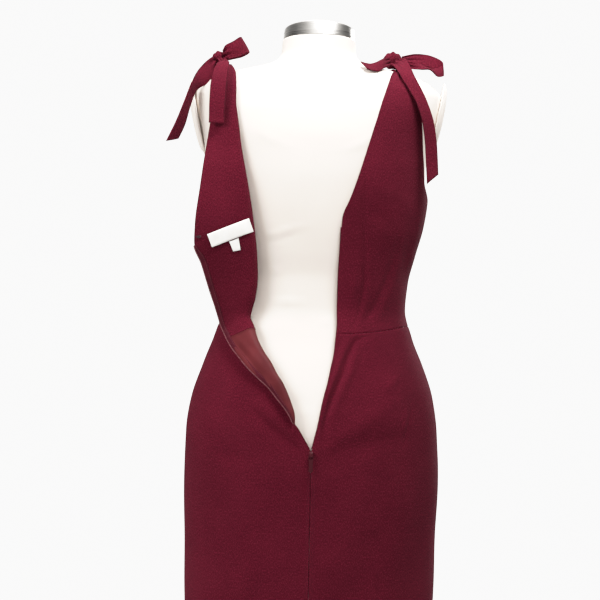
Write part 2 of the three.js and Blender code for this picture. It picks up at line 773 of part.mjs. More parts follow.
function sheetNormals(points, quads) {
  const normals = points.map(() => new THREE.Vector3());
  for (const [a, b, c, d] of quads) {
    const across = new THREE.Vector3().subVectors(points[c], points[a]);
    const normal = across.cross(new THREE.Vector3().subVectors(points[d], points[b])).normalize();
    for (const i of [a, b, c, d]) normals[i].add(normal);
  }
  return normals.map((normal) => normal.normalize());
}
add("bodice_front", bodiceFront(), CREPE);

const SKIRT_FRONT_LEVELS = [...steps(HEM, 800, 6), 840, 880, 919, 958, 999, 1026, WAIST];
const skirtFront = SKIRT_FRONT_LEVELS.map((level) =>
  steps(SIDE_RIGHT + SEAM_TURN, 360 + SIDE_LEFT - SEAM_TURN, 21).map((degrees) =>
    aroundSection(clothSection(level), degrees, level)));
skirtFront[skirtFront.length - 1].forEach((p) => { p.z -= SEAM; });
add("skirt_front", gridWall(skirtFront, CLOTH), CREPE);

// Shoulder ties: flat strips. A row is the strip's middle and half its width as a vector.
function strip(rows, count, thickness = CLOTH) {
  const spline = (k) =>
    new THREE.CatmullRomCurve3(rows.map((row) => new THREE.Vector3(...row.slice(k, k + 3))));
  const [middle, half] = [spline(0), spline(3)];
  const grid = steps(0, 1, count).map((t) => [-1, 0, 1].map((side) =>
    middle.getPoint(t).addScaledVector(half.getPoint(t), side)));
  return gridWall(grid, thickness);
}

const KNOTS = {
  left: { middle: [-147, -6, 1449.5], size: [11, 11.5, 10] },
  right: { middle: [109.5, -8, 1449.2], size: [14.5, 12.5, 13.2] },
};
for (const [side, { middle, size }] of Object.entries(KNOTS)) {
  const ball = new THREE.SphereGeometry(1, 14, 8).rotateX(Math.PI / 2).scale(...size);
  add(`tie_knot_${side}`, ball, CREPE).position.set(...middle);
}

// The strap ends gather and rise to the knot as one saddle.
function saddle(backX, frontX, topX, knot) {
  const [back, front] = [[backX, -1], [frontX, 1]].map(([x, face]) =>
    onRow(STRAP_END + 1, x, clothReach(STRAP_END + 1, x, face) + 0.65, face));
  const top = knot.middle[2] - knot.size[2] - 1.4;
  const rising = (x, end, half) => [mix(x, topX, 0.5), end.y * 0.76, mix(end.z, top, 0.8), half, 0, 0];
  return strip([
    [...back, 9, 0, 0],
    rising(backX, back, 9),
    [topX, -4, top, 7, 0, 0],
    rising(frontX, front, 9),
    [...front, 9, 0, 0],
  ], 9, 2);
}
add("tie_base_left", saddle(-136, -134, -141, KNOTS.left), CREPE);
add("tie_base_right", saddle(126, 126, 115.5, KNOTS.right), CREPE);

// Columns: x, y, z of the middle, then half the width.
const TIES = {
  tie_loop_left: [
    [-142, -14, 1452, -1, 0, 6.5],
    [-134, -21, 1456.5, -3, 0, 9.6],
    [-122, -19, 1461.5, -4.5, 0, 11.2],
    [-112.5, -12, 1468, -5.5, 0, 11.8],
    [-109.5, -1, 1470, -6, 0, 11.5],
    [-113, 8, 1468, -6, 0, 11],
    [-122, 10.5, 1463, -5.5, 0, 10.2],
    [-135, 7, 1457.5, -4, 0, 8.4],
    [-138, 3, 1455, -2, 0, 7],
  ],
  tie_end_side_left: [
    [-155, -9, 1447, 2, 2, -9],
    [-162, -19, 1432, 3.5, 1, -10.5],
    [-170, -34, 1416, 5.5, 0, -9.5],
    [-180.5, -49, 1399, 4.3, 9, -4.6],
    [-189, -57, 1374, 4.2, 10.5, -2],
    [-198, -59, 1346, 4.8, 10.2, -2.4],
    [-210, -60, 1321, 5, 9.6, -2],
  ],
  tie_end_back_left: [
    [-143, -19, 1444, 6, 0, 0],
    [-138, -34, 1438.5, 6.8, -1, 0],
    [-138.5, -52, 1434, 8.8, -3, 0],
    [-140.5, -71, 1420, 11, -4, 0],
    [-142.5, -88, 1399, 12, -4, 0],
    [-143.5, -97, 1371, 11.9, -4, 0],
    [-144, -101, 1337.5, 11.3, -4, -3.5],
  ],
  tie_end_short_right: [
    [98, -20, 1442, 1, -3, -7],
    [94, -41, 1439, 1.5, -6, -7.5],
    [86, -51, 1433, 1.5, -8, -7.5],
    [76, -57, 1431, 0, -8.5, -6],
    [66, -61, 1432.8, -2, -8.5, -5],
    [58, -64, 1435, -3, -8, -4.5],
  ],
  tie_loop_right: [
    [120, -12, 1450, 0, 6, 5.5],
    [138, -17, 1448.5, 0, 8, 7.5],
    [152, -19, 1445, 0, 7, 9.8],
    [168, -18, 1440.8, 0, 4.5, 11.3],
    [180, -13, 1436.5, 0, 5.5, 10.5],
    [185, -5, 1432, 0, 8.5, 7],
    [180, 1, 1429, 0, 10.5, 4.2],
    [168, 3, 1430, 0, 10.2, 4.8],
    [154, 2, 1435.5, 0, 9.2, 6.5],
    [140, 0, 1440, 0, 8, 6],
    [124, -2, 1444, 0, 5, 5],
  ],
  tie_end_back_right: [
    [114, -20, 1444, 8, 0, 4.5],
    [120, -33, 1441.5, 9.2, 2, 5.8],
    [125, -54, 1429, 9, 5, 5],
    [132, -70, 1412, 7.8, 4, 5],
    [143, -79, 1391, 7.6, 4, 4],
    [150.5, -83, 1374, 7.9, 4.5, 2.5],
    [157, -84, 1350, 9, 4.5, 1],
    [161.3, -83, 1320, 9.5, 3.5, 0],
    [163.3, -81, 1292, 9.2, 3, 1],
    [165, -79.5, 1265, 9, 2, 5.7],
  ],
};

const SEATS = {
  tie_loop_left: 1.25,
  tie_end_side_left: 1.6,
  tie_end_back_left: 0.65,
  tie_loop_right: 0.5,
  tie_end_short_right: 2.9,
  tie_end_back_right: 0.8,
};

// A tie leaves its knot at the knot's surface, on the way to the tie's next row.
function seatOn({ middle, size }, toward, gap) {
  const away = new THREE.Vector3(...toward).sub(new THREE.Vector3(...middle)).normalize();
  const reach = 1 / Math.hypot(away.x / size[0], away.y / size[1], away.z / size[2]);
  return new THREE.Vector3(...middle).addScaledVector(away, reach + gap);
}

for (const [name, rows] of Object.entries(TIES)) {
  const knot = name.endsWith("left") ? KNOTS.left : KNOTS.right;
  const ends = name.includes("loop") ? [[0, 1], [rows.length - 1, rows.length - 2]] : [[0, 1]];
  for (const [end, next] of ends) {
    rows[end].splice(0, 3, ...seatOn(knot, rows[next].slice(0, 3), SEATS[name]));
  }
  add(name, strip(rows, rows.length * 2 + 1), CREPE);
}

export default part;
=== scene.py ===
# A sheath dress with shoulder ties, its back zip open, on a limbless dress form with a round stand.
# Sizes are written in millimetres and degrees, and meshes are made in metres, in the packed
# model's frame: floor at z = 0, open back facing -Y, the wearer's right at +X. The camera and the
# lamps are placed in metres.
import math

import bmesh
import bpy
import numpy as np
from mathutils import Matrix, Vector


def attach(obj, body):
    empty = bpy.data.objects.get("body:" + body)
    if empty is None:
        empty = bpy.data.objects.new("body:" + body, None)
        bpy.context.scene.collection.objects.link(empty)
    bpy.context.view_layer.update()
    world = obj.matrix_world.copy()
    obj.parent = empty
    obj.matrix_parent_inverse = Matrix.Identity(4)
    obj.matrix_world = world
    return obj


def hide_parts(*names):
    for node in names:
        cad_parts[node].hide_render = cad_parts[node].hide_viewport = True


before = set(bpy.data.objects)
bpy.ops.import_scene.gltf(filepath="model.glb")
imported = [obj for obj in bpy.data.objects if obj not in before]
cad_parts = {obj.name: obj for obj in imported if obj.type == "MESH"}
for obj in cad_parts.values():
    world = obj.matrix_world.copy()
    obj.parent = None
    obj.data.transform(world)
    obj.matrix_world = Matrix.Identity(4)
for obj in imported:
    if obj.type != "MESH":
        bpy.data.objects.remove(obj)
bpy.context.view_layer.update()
MM = 0.001
DRESS_BODY = "dress_and_form"
PULL_BODY = "pull_tab"

# The camera stands 2.5 m behind the dress, level with its hips, looks slightly up and is turned
# a little about its own line of sight.
CAMERA_AT = Vector((0.0, -2.5, 1.0245))
CAMERA_AIM = Vector((-0.0207, 0.0, 1.0926))
CAMERA_ROLL = math.radians(1.12)
camera_data = bpy.data.cameras.new("camera")
camera_data.lens = 101.35
camera_data.sensor_width = 36
camera_data.clip_end = 60
camera = bpy.data.objects.new("camera", camera_data)
bpy.context.scene.collection.objects.link(camera)
looking = (CAMERA_AIM - CAMERA_AT).to_track_quat("-Z", "Y").to_matrix().to_4x4()
camera.matrix_world = Matrix.Translation(CAMERA_AT) @ looking @ Matrix.Rotation(CAMERA_ROLL, 4, "Z")
bpy.context.scene.camera = camera


# The padded torso of the form: cream jersey pulled over a hard shell, cut flat where the arm
# plates sit and drawn in to a neck that tilts forward. Its sections are given level by level, as
# half width and depth behind and in front, and the jersey has a few faint wrinkles in the back.
FORM = (("z", "half", "back", "front"), (
    (740, 150, 95, 85),
    (760, 160, 105, 92),
    (800, 168, 116, 98),
    (850, 171, 124, 103),
    (900, 169, 126, 108),
    (950, 160, 118, 110),
    (1000, 145, 104, 108),
    (1040, 130, 92, 102),
    (1080, 121, 84, 96),
    (1120, 126, 86, 98),
    (1160, 138, 94, 108),
    (1200, 150, 102, 122),
    (1240, 157, 108, 130),
    (1280, 161, 112, 124),
    (1320, 168, 113, 108),
    (1360, 180, 108, 86),
    (1390, 184, 96, 66),
    (1410, 170, 80, 52),
    (1425, 141, 66, 46),
    (1433, 106, 58, 48),
    (1441, 73, 52, 54),
    (1448, 60.5, 46.5, 59),
    (1456, 55.5, 43.5, 64),
    (1474, 54, 42, 66),
))
ROUND = 2.3  # how square a section is: 2 is an ellipse
FORM_BASE, FORM_TOP = 740, 1474
# rows of the mesh, closer together over the shoulders and up the neck
TORSO_LEVELS = np.concatenate([np.linspace(743, 1360, 112), np.linspace(1363, FORM_TOP, 60)])[:, None]
TORSO_COLUMNS = 160
# the rings that close it: their share of the rim, and under the torso also their rise
UNDERSIDE = ((0.002, 0), (0.4, 0), (0.8, 0), (0.95, 0), (0.982, 0.4), (0.995, 1.4))
TOP_SHARES = (0.985, 0.9, 0.5, 0.002)
NECK_TILT = math.radians(7)
NECK_BEND = (1436, 1464)  # the levels between which the neck takes its tilt
NECK_MIDDLE = 12
PLATE_MIDDLE, PLATE_X, PLATE_SLOPE = 1362, 175, 0.2
PLATE_REACH = 75  # how far below a plate's middle the torso starts to be cut flat for it
BACK, FRONT = -1, 1
SIDE_FADE = 12  # over this depth at either side, lines on the back or the front fade out


def mix(a, b, t):
    """a where t is 0, b where it is 1."""
    return a + (b - a) * t


def ease(value, low, high):
    """Rises softly from 0 at low to 1 at high."""
    t = np.clip((np.asarray(value, float) - low) / (high - low), 0, 1)
    return t * t * (3 - 2 * t)


def read(table, name, where):
    """One column of a table, read smoothly and without swinging past its rows."""
    names, rows = table
    rows = np.array(sorted(rows), float)
    at, value = rows[:, 0], rows[:, names.index(name)]
    slope = np.diff(value) / np.diff(at)
    product, total = slope[:-1] * slope[1:], slope[:-1] + slope[1:]
    inner = np.where(product > 0, 2 * product / np.where(total == 0, 1, total), 0)
    tangent = np.concatenate([slope[:1], inner, slope[-1:]])
    where = np.clip(np.asarray(where, float), at[0], at[-1])
    i = np.clip(np.searchsorted(at, where, side="right") - 1, 0, len(at) - 2)
    step = at[i + 1] - at[i]
    t = (where - at[i]) / step
    rise = t * t * (3 - 2 * t)
    bend = tangent[i] * (1 - t) - tangent[i + 1] * t
    return value[i] + (value[i + 1] - value[i]) * rise + bend * step * t * (1 - t)


def form_section(z):
    """Half width and depth behind and in front, at a level of the form."""
    return [read(FORM, name, z) for name in ("half", "back", "front")]


def power(value, exponent):
    """A power that keeps the sign."""
    return np.sign(value) * np.abs(value) ** exponent


def around_section(section, degrees, z):
    """Points at angles from the centre back, positive towards +X."""
    half, back, front = section
    a = np.radians(degrees)
    depth = np.where(np.cos(a) > 0, back, front)
    x = half * power(np.sin(a), 2 / ROUND)
    y = -depth * power(np.cos(a), 2 / ROUND)
    return np.stack(np.broadcast_arrays(x, y, np.asarray(z, float)), -1)


def grid_normals(points, wrap=False):
    """The way each point of a grid faces; wrap joins its last column to the first."""
    along = np.gradient(points, axis=1)
    if wrap:
        along = np.roll(points, -1, 1) - np.roll(points, 1, 1)
    normals = np.cross(along, np.gradient(points, axis=0))
    return normals / np.maximum(np.linalg.norm(normals, axis=-1, keepdims=True), 1e-9)


def lines(points, creases, facing):
    """How far soft lines raise or sink a surface: each has a height, a width and a path of
    x, z, strength, and reaches only the side of the object that it faces."""
    raised = np.zeros(points.shape[:-1])
    x, z = points[..., 0], points[..., 2]
    shown = np.clip(points[..., 1] * facing / SIDE_FADE + 0.5, 0, 1)
    for height, width, path in creases:
        nearest = np.full(x.shape, 1e9)
        strength = np.zeros(x.shape)
        for (ax, az, sa), (bx, bz, sb) in zip(path, path[1:]):
            dx, dz = bx - ax, bz - az
            t = np.clip(((x - ax) * dx + (z - az) * dz) / (dx * dx + dz * dz), 0, 1)
            away = np.hypot(x - ax - t * dx, z - az - t * dz)
            closer = away < nearest
            nearest = np.where(closer, away, nearest)
            strength = np.where(closer, mix(sa, sb, t), strength)
        raised += height * strength * np.exp(-((nearest / width) ** 2))
    return raised * shown


def quads(rows, columns, wrap=False):
    """The faces of a grid, and the same faces in a grid that has one more column at the wrap."""
    last = columns if wrap else columns - 1
    i, j = (part.ravel() for part in np.meshgrid(np.arange(rows - 1), np.arange(last), indexing="ij"))

    def corners(wide, ahead):
        below, above = i * wide, (i + 1) * wide
        return np.stack([below + j, below + ahead, above + ahead, above + j], 1)

    return corners(columns, (j + 1) % columns), corners(columns + wrap, j + 1)


def laid_flat(points, wrap=False):
    """A grid's own width and length at each point, in millimetres, for the weave to follow."""
    if wrap:
        points = np.concatenate([points, points[:, :1]], 1)
    across = np.linalg.norm(np.diff(points, axis=1), axis=-1)
    across = np.concatenate([np.zeros((len(points), 1)), np.cumsum(across, 1)], 1)
    middle = points.shape[1] // 2
    across -= across[:, middle:middle + 1]
    up = np.linalg.norm(np.diff(points[:, middle], axis=0), axis=-1)
    up = np.concatenate([[0], np.cumsum(up)])
    return np.stack([across, np.broadcast_to(up[:, None], across.shape)], -1)


def piece(name, points, faces, material, uv=None, uv_faces=None):
    """A mesh object of the scene, from points in millimetres, with smooth faces."""
    data = bpy.data.meshes.new(name)
    data.from_pydata((np.asarray(points) * MM).tolist(), [], [list(map(int, f)) for f in faces])
    data.polygons.foreach_set("use_smooth", np.ones(len(data.polygons), bool))
    if uv is not None:
        layer = data.uv_layers.new(name="cloth")
        flat = np.concatenate([np.asarray(f) for f in (faces if uv_faces is None else uv_faces)])
        layer.data.foreach_set("uv", (np.asarray(uv)[flat] * MM).astype(np.float32).ravel())
    data.materials.append(material)
    made = bpy.data.objects.new(name, data)
    bpy.context.scene.collection.objects.link(made)
    return made


def put(tree, kind, inputs=(), **settings):
    """A node whose inputs are given as values or as the outputs that feed them."""
    made = tree.nodes.new(kind)
    for key, value in settings.items():
        setattr(made, key, value)
    for key, value in dict(inputs).items():
        if isinstance(value, bpy.types.NodeSocket):
            tree.links.new(value, made.inputs[key])
        else:
            made.inputs[key].default_value = value
    return made


FINISH = {
    "roughness": "Roughness",
    "metallic": "Metallic",
    "specular": "Specular IOR Level",
    "sheen": "Sheen Weight",
    "sheen_roughness": "Sheen Roughness",
    "sheen_tint": "Sheen Tint",
    "coat": "Coat Weight",
    "coat_roughness": "Coat Roughness",
    "anisotropic": "Anisotropic",
}


def new_material(name, **values):
    """A material with its even values set on the shader's own sockets."""
    made = bpy.data.materials.new(name)
    made.use_nodes = True
    shader = made.node_tree.nodes["Principled BSDF"]
    for key, value in values.items():
        shader.inputs[FINISH[key]].default_value = value
    return made, made.node_tree, shader


def shades(tree, factor, *stops):
    """Colours that follow a factor."""
    ramp = put(tree, "ShaderNodeValToRGB", {"Fac": factor})
    while len(ramp.color_ramp.elements) < len(stops):
        ramp.color_ramp.elements.new(0.5)
    for element, (place, colour) in zip(ramp.color_ramp.elements, stops):
        element.position = place
        element.color = (*colour, 1)
    return ramp.outputs["Color"]


def coloured(tree, shader, factor, *stops):
    """Lets the surface's own colour follow a factor."""
    tree.links.new(shades(tree, factor, *stops), shader.inputs["Base Color"])


def relief(tree, shader, height, strength, distance):
    """Gives the surface its finest relief, distance in metres."""
    bump = put(tree, "ShaderNodeBump", {"Height": height, "Strength": strength, "Distance": distance})
    tree.links.new(bump.outputs["Normal"], shader.inputs["Normal"])


def noise(tree, scale, detail, place=None):
    """Cloudy noise on the piece's own coordinates, or on those that are given."""
    if place is None:
        place = put(tree, "ShaderNodeTexCoord").outputs["Object"]
    return put(tree, "ShaderNodeTexNoise", {"Vector": place, "Scale": scale, "Detail": detail}).outputs["Fac"]


def reckon(tree, operation, a, b):
    """One step of arithmetic on two factors."""
    return put(tree, "ShaderNodeMath", {0: a, 1: b}, operation=operation).outputs[0]


ONE_WAVE = 0.314  # the wave texture's scale at which its bands are one metre apart


def yarns(tree, direction, pitch, distortion, unevenness):
    """The height of yarns laid side by side, pitch in metres, on the cloth's own width and length."""
    uv = put(tree, "ShaderNodeUVMap", uv_map="cloth").outputs["UV"]
    return put(tree, "ShaderNodeTexWave", {
        "Vector": uv, "Scale": ONE_WAVE / pitch, "Distortion": distortion, "Detail": 2,
        "Detail Scale": unevenness}, bands_direction=direction, wave_profile="SIN").outputs["Fac"]


def knit(tree, pitch):
    """The height of a fine jersey: upright ribs of small loops."""
    return reckon(tree, "MULTIPLY", yarns(tree, "X", pitch, 0.6, 30), yarns(tree, "Y", pitch * 0.8, 0.8, 30))


jersey, tree, shader = new_material("cream_jersey", roughness=0.85, specular=0.25, sheen=0.15,
                                    sheen_roughness=0.5, sheen_tint=(1, 0.96, 0.9, 1))
coloured(tree, shader, noise(tree, 7, 3), (0.3, (0.725, 0.642, 0.572)), (0.7, (0.77, 0.690, 0.62)))
relief(tree, shader, reckon(tree, "ADD", knit(tree, 0.0011), noise(tree, 420, 2)), 0.35, 0.0002)

# each wrinkle: its height, its width, and x, z, strength along it
WRINKLES = (
    (1.58, 3.0, ((-72, 1180, 0.2), (-45, 1186, 1), (-18, 1196, 0.3))),
    (-1.12, 3.0, ((-70, 1173, 0.2), (-45, 1179, 1), (-20, 1188, 0.2))),
    (1.35, 2.6, ((-68, 1128, 0.2), (-58, 1131, 1), (-44, 1136, 0.1))),
    (1.58, 2.8, ((-62, 1085, 0.2), (-38, 1087, 1), (-10, 1086, 0.2))),
    (1.35, 2.6, ((8, 1062, 0.2), (20, 1060, 1), (34, 1066, 0.1))),
    (1.12, 3.0, ((-24, 930, 0.2), (-6, 931, 1), (14, 929, 0.2))),
    (1.35, 3.5, ((30, 1300, 0.1), (60, 1312, 1), (92, 1330, 0.2))),
    (1.35, 3.5, ((-92, 1336, 0.1), (-66, 1318, 1), (-34, 1304, 0.2))),
)


def torso():
    """Rows of rings, from the middle of the underside to the middle of the neck's top."""
    degrees = np.linspace(0, 360, TORSO_COLUMNS, endpoint=False)[None, :]
    levels = np.broadcast_to(TORSO_LEVELS, (len(TORSO_LEVELS), TORSO_COLUMNS))
    points = around_section(form_section(TORSO_LEVELS), degrees, levels)
    points += grid_normals(points, True) * lines(points, WRINKLES, BACK)[..., None]
    points[..., 2] -= (points[..., 1] - NECK_MIDDLE) * np.tan(NECK_TILT) * ease(TORSO_LEVELS, *NECK_BEND)
    side = PLATE_X + (TORSO_LEVELS - PLATE_MIDDLE) * PLATE_SLOPE
    flat = np.where(TORSO_LEVELS > PLATE_MIDDLE - PLATE_REACH, side, np.inf)
    points[..., 0] = np.clip(points[..., 0], -flat, flat)
    ring = points[0] * (1, 1, 0)
    under = [ring * (share, share, 0) + (0, 0, FORM_BASE + rise) for share, rise in UNDERSIDE]
    top = points[-1]
    middle = top.mean(0)
    over = [middle + (top - middle) * share for share in TOP_SHARES]
    return np.stack([*under, *points, *over])


def stuffed(name, rows, material, node, mirrored=False):
    """A padded piece from rows of rings, with the imported solid it replaces hidden and its body given."""
    faces, flat_faces = quads(*rows.shape[:2], wrap=True)
    if mirrored:
        faces, flat_faces = faces[:, ::-1], flat_faces[:, ::-1]
    made = piece(name, rows.reshape(-1, 3), faces, material,
                 laid_flat(rows, wrap=True).reshape(-1, 2), flat_faces)
    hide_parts(node)
    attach(made, DRESS_BODY)


stuffed("form_torso_jersey", torso(), jersey, "form_torso")


# The arm plates: shallow padded ovals in the same jersey that close the armholes. A corded edge
# runs round each where the cover is drawn under it.
PLATE_TALL, PLATE_DEEP, PLATE_GAP = 57, 42, 0.3
PLATE_COLUMNS = 96
# share of the outline, height above the torso
PLATE_PROFILE = (
    (1.0, 0), (1.0, 1.6), (0.992, 2.3), (0.975, 2.6), (0.957, 2.5), (0.945, 2.4), (0.93, 2.9), (0.91, 4.2),
    (0.86, 6.0), (0.78, 7.4), (0.66, 8.6), (0.5, 9.5), (0.3, 10.2), (0.12, 10.5), (0.002, 10.6))


def arm_plate(side):
    """Rows of rings over one plate, leaning with the side of the torso."""
    turn = np.linspace(0, 2 * np.pi, PLATE_COLUMNS, endpoint=False)
    rim = np.stack([np.zeros_like(turn), np.sin(turn) * PLATE_DEEP, np.cos(turn) * PLATE_TALL], -1)
    closed = PLATE_PROFILE[-1][0]
    rows = np.stack([rim * closed] + [rim * share + (height, 0, 0) for share, height in PLATE_PROFILE])
    lean = math.atan(PLATE_SLOPE)
    x = rows[..., 0] * math.cos(lean) + rows[..., 2] * math.sin(lean)
    z = -rows[..., 0] * math.sin(lean) + rows[..., 2] * math.cos(lean)
    return np.stack([side * (x + PLATE_X + PLATE_GAP), rows[..., 1], z + PLATE_MIDDLE], -1)


for plate_name, side in (("left", -1), ("right", 1)):
    stuffed(f"form_arm_plate_{plate_name}_jersey", arm_plate(side), jersey,
            f"form_arm_plate_{plate_name}", mirrored=side > 0)


# The steel of the form: a spun neck cap with a rounded lip, a tube that carries the torso, and a
# weighted round foot. All is satin brushed round its axis.
steel, tree, shader = new_material("brushed_steel", metallic=1.0, roughness=0.3, anisotropic=0.5)
place = put(tree, "ShaderNodeTexCoord").outputs["Object"]
drawn_out = put(tree, "ShaderNodeMapping", {"Vector": place, "Scale": (4, 4, 900)}).outputs["Vector"]
grain = noise(tree, 1, 4, drawn_out)
coloured(tree, shader, noise(tree, 22, 3), (0.3, (0.50, 0.48, 0.45)), (0.7, (0.62, 0.60, 0.57)))
rubbed = put(tree, "ShaderNodeMapRange", {"Value": grain, "From Min": 0.3, "From Max": 0.7,
                                          "To Min": 0.22, "To Max": 0.38})
tree.links.new(rubbed.outputs["Result"], shader.inputs["Roughness"])
relief(tree, shader, grain, 0.2, 0.00005)

# each profile: radius, height
CAP_PROFILE = (
    (0.05, 0), (53.0, 0), (53.6, 0.3), (53.9, 0.9), (53.8, 2), (52.5, 19.5), (52.2, 20.6), (51.6, 21.7),
    (50.6, 22.5), (49.2, 22.95), (47.6, 23), (46.6, 22.7), (46.2, 22.2), (45.4, 22.0), (30, 22.4),
    (0.05, 22.6))
POLE_PROFILE = (
    (0.05, 0), (19.6, 0), (20, 0.4), (20, 16.6), (19.7, 17.6), (18.9, 18.3), (16.5, 19), (14.8, 20.4),
    (14.2, 22), (14, 24), (14, 360), (14, 640), (14, 724.6), (13.6, 725.1), (0.05, 725.1))
FOOT_PROFILE = (
    (0.05, 0), (167.4, 0), (168.8, 0.5), (169.7, 1.3), (170, 2.4), (169.9, 4.4), (169.2, 6), (167.6, 7.5),
    (165, 8.6), (158, 9.3), (110, 11), (60, 12.2), (32, 12.9), (26, 13.8), (22, 14), (0.05, 14))
STEEL_GAP = 0.3  # between the cap and the form, and between the foot and the pole
FOOT_TOP = 14


def spun(name, profile, sides, place=Matrix.Identity(4)):
    """A closed turned shape round the Z axis, set in its place."""
    turn = np.linspace(0, 2 * np.pi, sides, endpoint=False)
    rows = np.stack([np.stack([r * np.cos(turn), r * np.sin(turn), np.full(sides, float(z))], -1)
                     for r, z in profile])
    rows = rows @ np.array(place.to_3x3()).T + np.array(place.translation)
    faces, _ = quads(len(profile), sides, wrap=True)
    made = piece(f"{name}_steel", rows.reshape(-1, 3), faces, steel)
    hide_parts(name)
    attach(made, DRESS_BODY)


spun("form_neck_cap", CAP_PROFILE, 120,
     Matrix.Translation((0, NECK_MIDDLE, FORM_TOP + STEEL_GAP)) @ Matrix.Rotation(-NECK_TILT, 4, "X"))
spun("form_pole", POLE_PROFILE, 64, Matrix.Translation((0, 0, FOOT_TOP + STEEL_GAP)))
spun("form_base", FOOT_PROFILE, 144)


# The right back of the dress, above the waist seam and below it: burgundy crepe, a dry weave with
# hard-twisted yarns. Level rows run from the open edge to the side seam or the armhole. The cloth
# turns in along its seams, and the hem is turned up inside.
CREPE_THICK = 1.0
HEM, WAIST, WAIST_DIP = 420, 1056, 13
SHOULDER, STRAP_END = 1350, 1422
UNDERARM, ARM_EDGE = 1229, 1265  # where the armhole starts, and where its edge has turned upright
NECK_POINT, SLIDER = 1207, 878
SIDE_RIGHT, SIDE_LEFT = 99, -83  # the side seams, in degrees from the centre back
EASE = 2.1  # from the form to the middle of the cloth that rests on it
DRESS = (("z", "half", "back", "front"), (
    (HEM, 178, 112, 104),
    (600, 181, 118, 108),
    (750, 184, 124, 112),
    (850, 186, 131, 114),
    (900, 184, 133, 117),
    (950, 176, 128, 118),
    (1000, 160, 116, 115),
    (1040, 145, 104, 108),
    (1080, 135, 94, 103),
    (1120, 138, 96, 105),
    (1160, 148, 101, 113),
    (1200, 159, 108, 128),
    (1240, 165, 114, 136),
    (1280, 168, 117, 131),
    (1320, 173, 118, 115),
))
NECK_RIGHT = (("level", "x"), (
    (SLIDER, 0.2),
    (882, 1.6),
    (896, 5),
    (918, 10.2),
    (951, 16),
    (976, 21.6),
    (1007, 26.6),
    (1023, 29.2),
    (1050, 31.5),
    (1073, 33.5),
    (1120, 34.2),
    (1162, 35.8),
    (NECK_POINT, 38),
    (1217, 40.5),
    (1231, 47),
    (1261, 58),
    (1312, 73.6),
    (SHOULDER, 85),
    (1363, 91),
    (1380, 99),
    (1400, 106),
    (STRAP_END, 112),
))
ARMHOLE_RIGHT = (("level", "x"), (
    (ARM_EDGE, 158),
    (1290, 156),
    (1313, 153.7),
    (SHOULDER, 151.2),
    (1363, 149.8),
    (1380, 148),
    (1400, 145),
    (STRAP_END, 140),
))
ARM_CURVE = 0.6  # how soon the armhole leaves the side seam
LETS_GO = (1280, 1345)  # between these levels the cloth goes from hanging clear to resting on the form
DIP_TALL, DIP_ROUND = 120, (10, 80)  # how far up and down, and round the body, the waist seam dips
FARTHEST, HALVINGS = 160, 26  # the search for the cloth's reach over the shoulder


def cloth_section(z):
    """The middle of the cloth: on the form at the shoulders, hanging clear of it below."""
    rests = ease(z, *LETS_GO)
    on_form = [size + EASE for size in form_section(np.asarray(z) - EASE)]
    hangs = [read(DRESS, name, z) for name in ("half", "back", "front")]
    return [mix(a, b, rests) for a, b in zip(hangs, on_form)]


def depth_at(section, x, facing):
    """How far behind or in front of the middle a section lies at x."""
    half, back, front = section
    share = np.clip(1 - (np.abs(x) / half) ** ROUND, 0, 1)
    return (back if facing == BACK else front) * share ** (1 / ROUND)


def angle_at(x, z):
    """The angle from the centre back at which the cloth passes x."""
    share = np.clip(np.abs(x) / cloth_section(z)[0], 0, 1)
    return np.degrees(np.arcsin(share ** (ROUND / 2))) * np.sign(x)


def on_row(level, x, reach, facing, lower=0.0):
    """A point on a row. Above the shoulder level rows fan out over the shoulder, one degree a step."""
    turn = np.radians(np.maximum(0, level - SHOULDER))
    z = np.minimum(level, SHOULDER) + reach * np.sin(turn) - lower
    return np.stack(np.broadcast_arrays(x, facing * reach * np.cos(turn), z), -1)


def cloth_reach(level, x, facing, lower=0.0):
    """How far out the cloth lies on a row, found over the shoulder by halving."""
    turn = np.radians(np.maximum(0, level - SHOULDER))
    level_reach = depth_at(cloth_section(np.minimum(level, SHOULDER) - lower), x, facing)
    inside = np.zeros(np.broadcast(level, x).shape)
    outside = inside + FARTHEST
    for _ in range(HALVINGS):
        reach = (inside + outside) / 2
        surface = depth_at(cloth_section(SHOULDER + reach * np.sin(turn)), x, facing)
        short = reach * np.cos(turn) < surface
        inside, outside = np.where(short, reach, inside), np.where(short, outside, reach)
    return np.where(turn > 0, inside, level_reach)


def dip_at(degrees, level):
    """How much lower the waist seam lies towards the centre back."""
    near = 1 - ease(np.abs(level - WAIST), 0, DIP_TALL)
    return WAIST_DIP * near * (1 - ease(np.abs(degrees), *DIP_ROUND))


def outer_angle(side, level, armhole):
    """The angle of a back's outer edge: the side seam, then the armhole."""
    seam = SIDE_RIGHT if side > 0 else SIDE_LEFT
    arm_x = read(armhole, "x", np.maximum(level, ARM_EDGE))
    at_arm = angle_at(side * arm_x, np.minimum(level, SHOULDER))
    return mix(seam, at_arm, ease(level, UNDERARM, ARM_EDGE) ** ARM_CURVE)


def back_right(level, t):
    """The cloth's middle, with t from the open edge to the outer one."""
    inner, outer_x = read(NECK_RIGHT, "x", level), read(ARMHOLE_RIGHT, "x", level)
    base = np.minimum(level, SHOULDER)
    degrees = mix(angle_at(inner, base), outer_angle(1, level, ARMHOLE_RIGHT), t)
    z = base - np.where(level <= UNDERARM, dip_at(degrees, level), 0)
    around = around_section(cloth_section(z), degrees, z)
    x = mix(around[..., 0], mix(inner, outer_x, t), ease(level, ARM_EDGE, SHOULDER))
    over = on_row(level, x, cloth_reach(level, x, BACK), BACK)
    return np.where((level < ARM_EDGE)[..., None], around, over)


NEAR = (0.5, 1.3, 2.4, 4.0)  # extra rows and columns this far from a cut edge


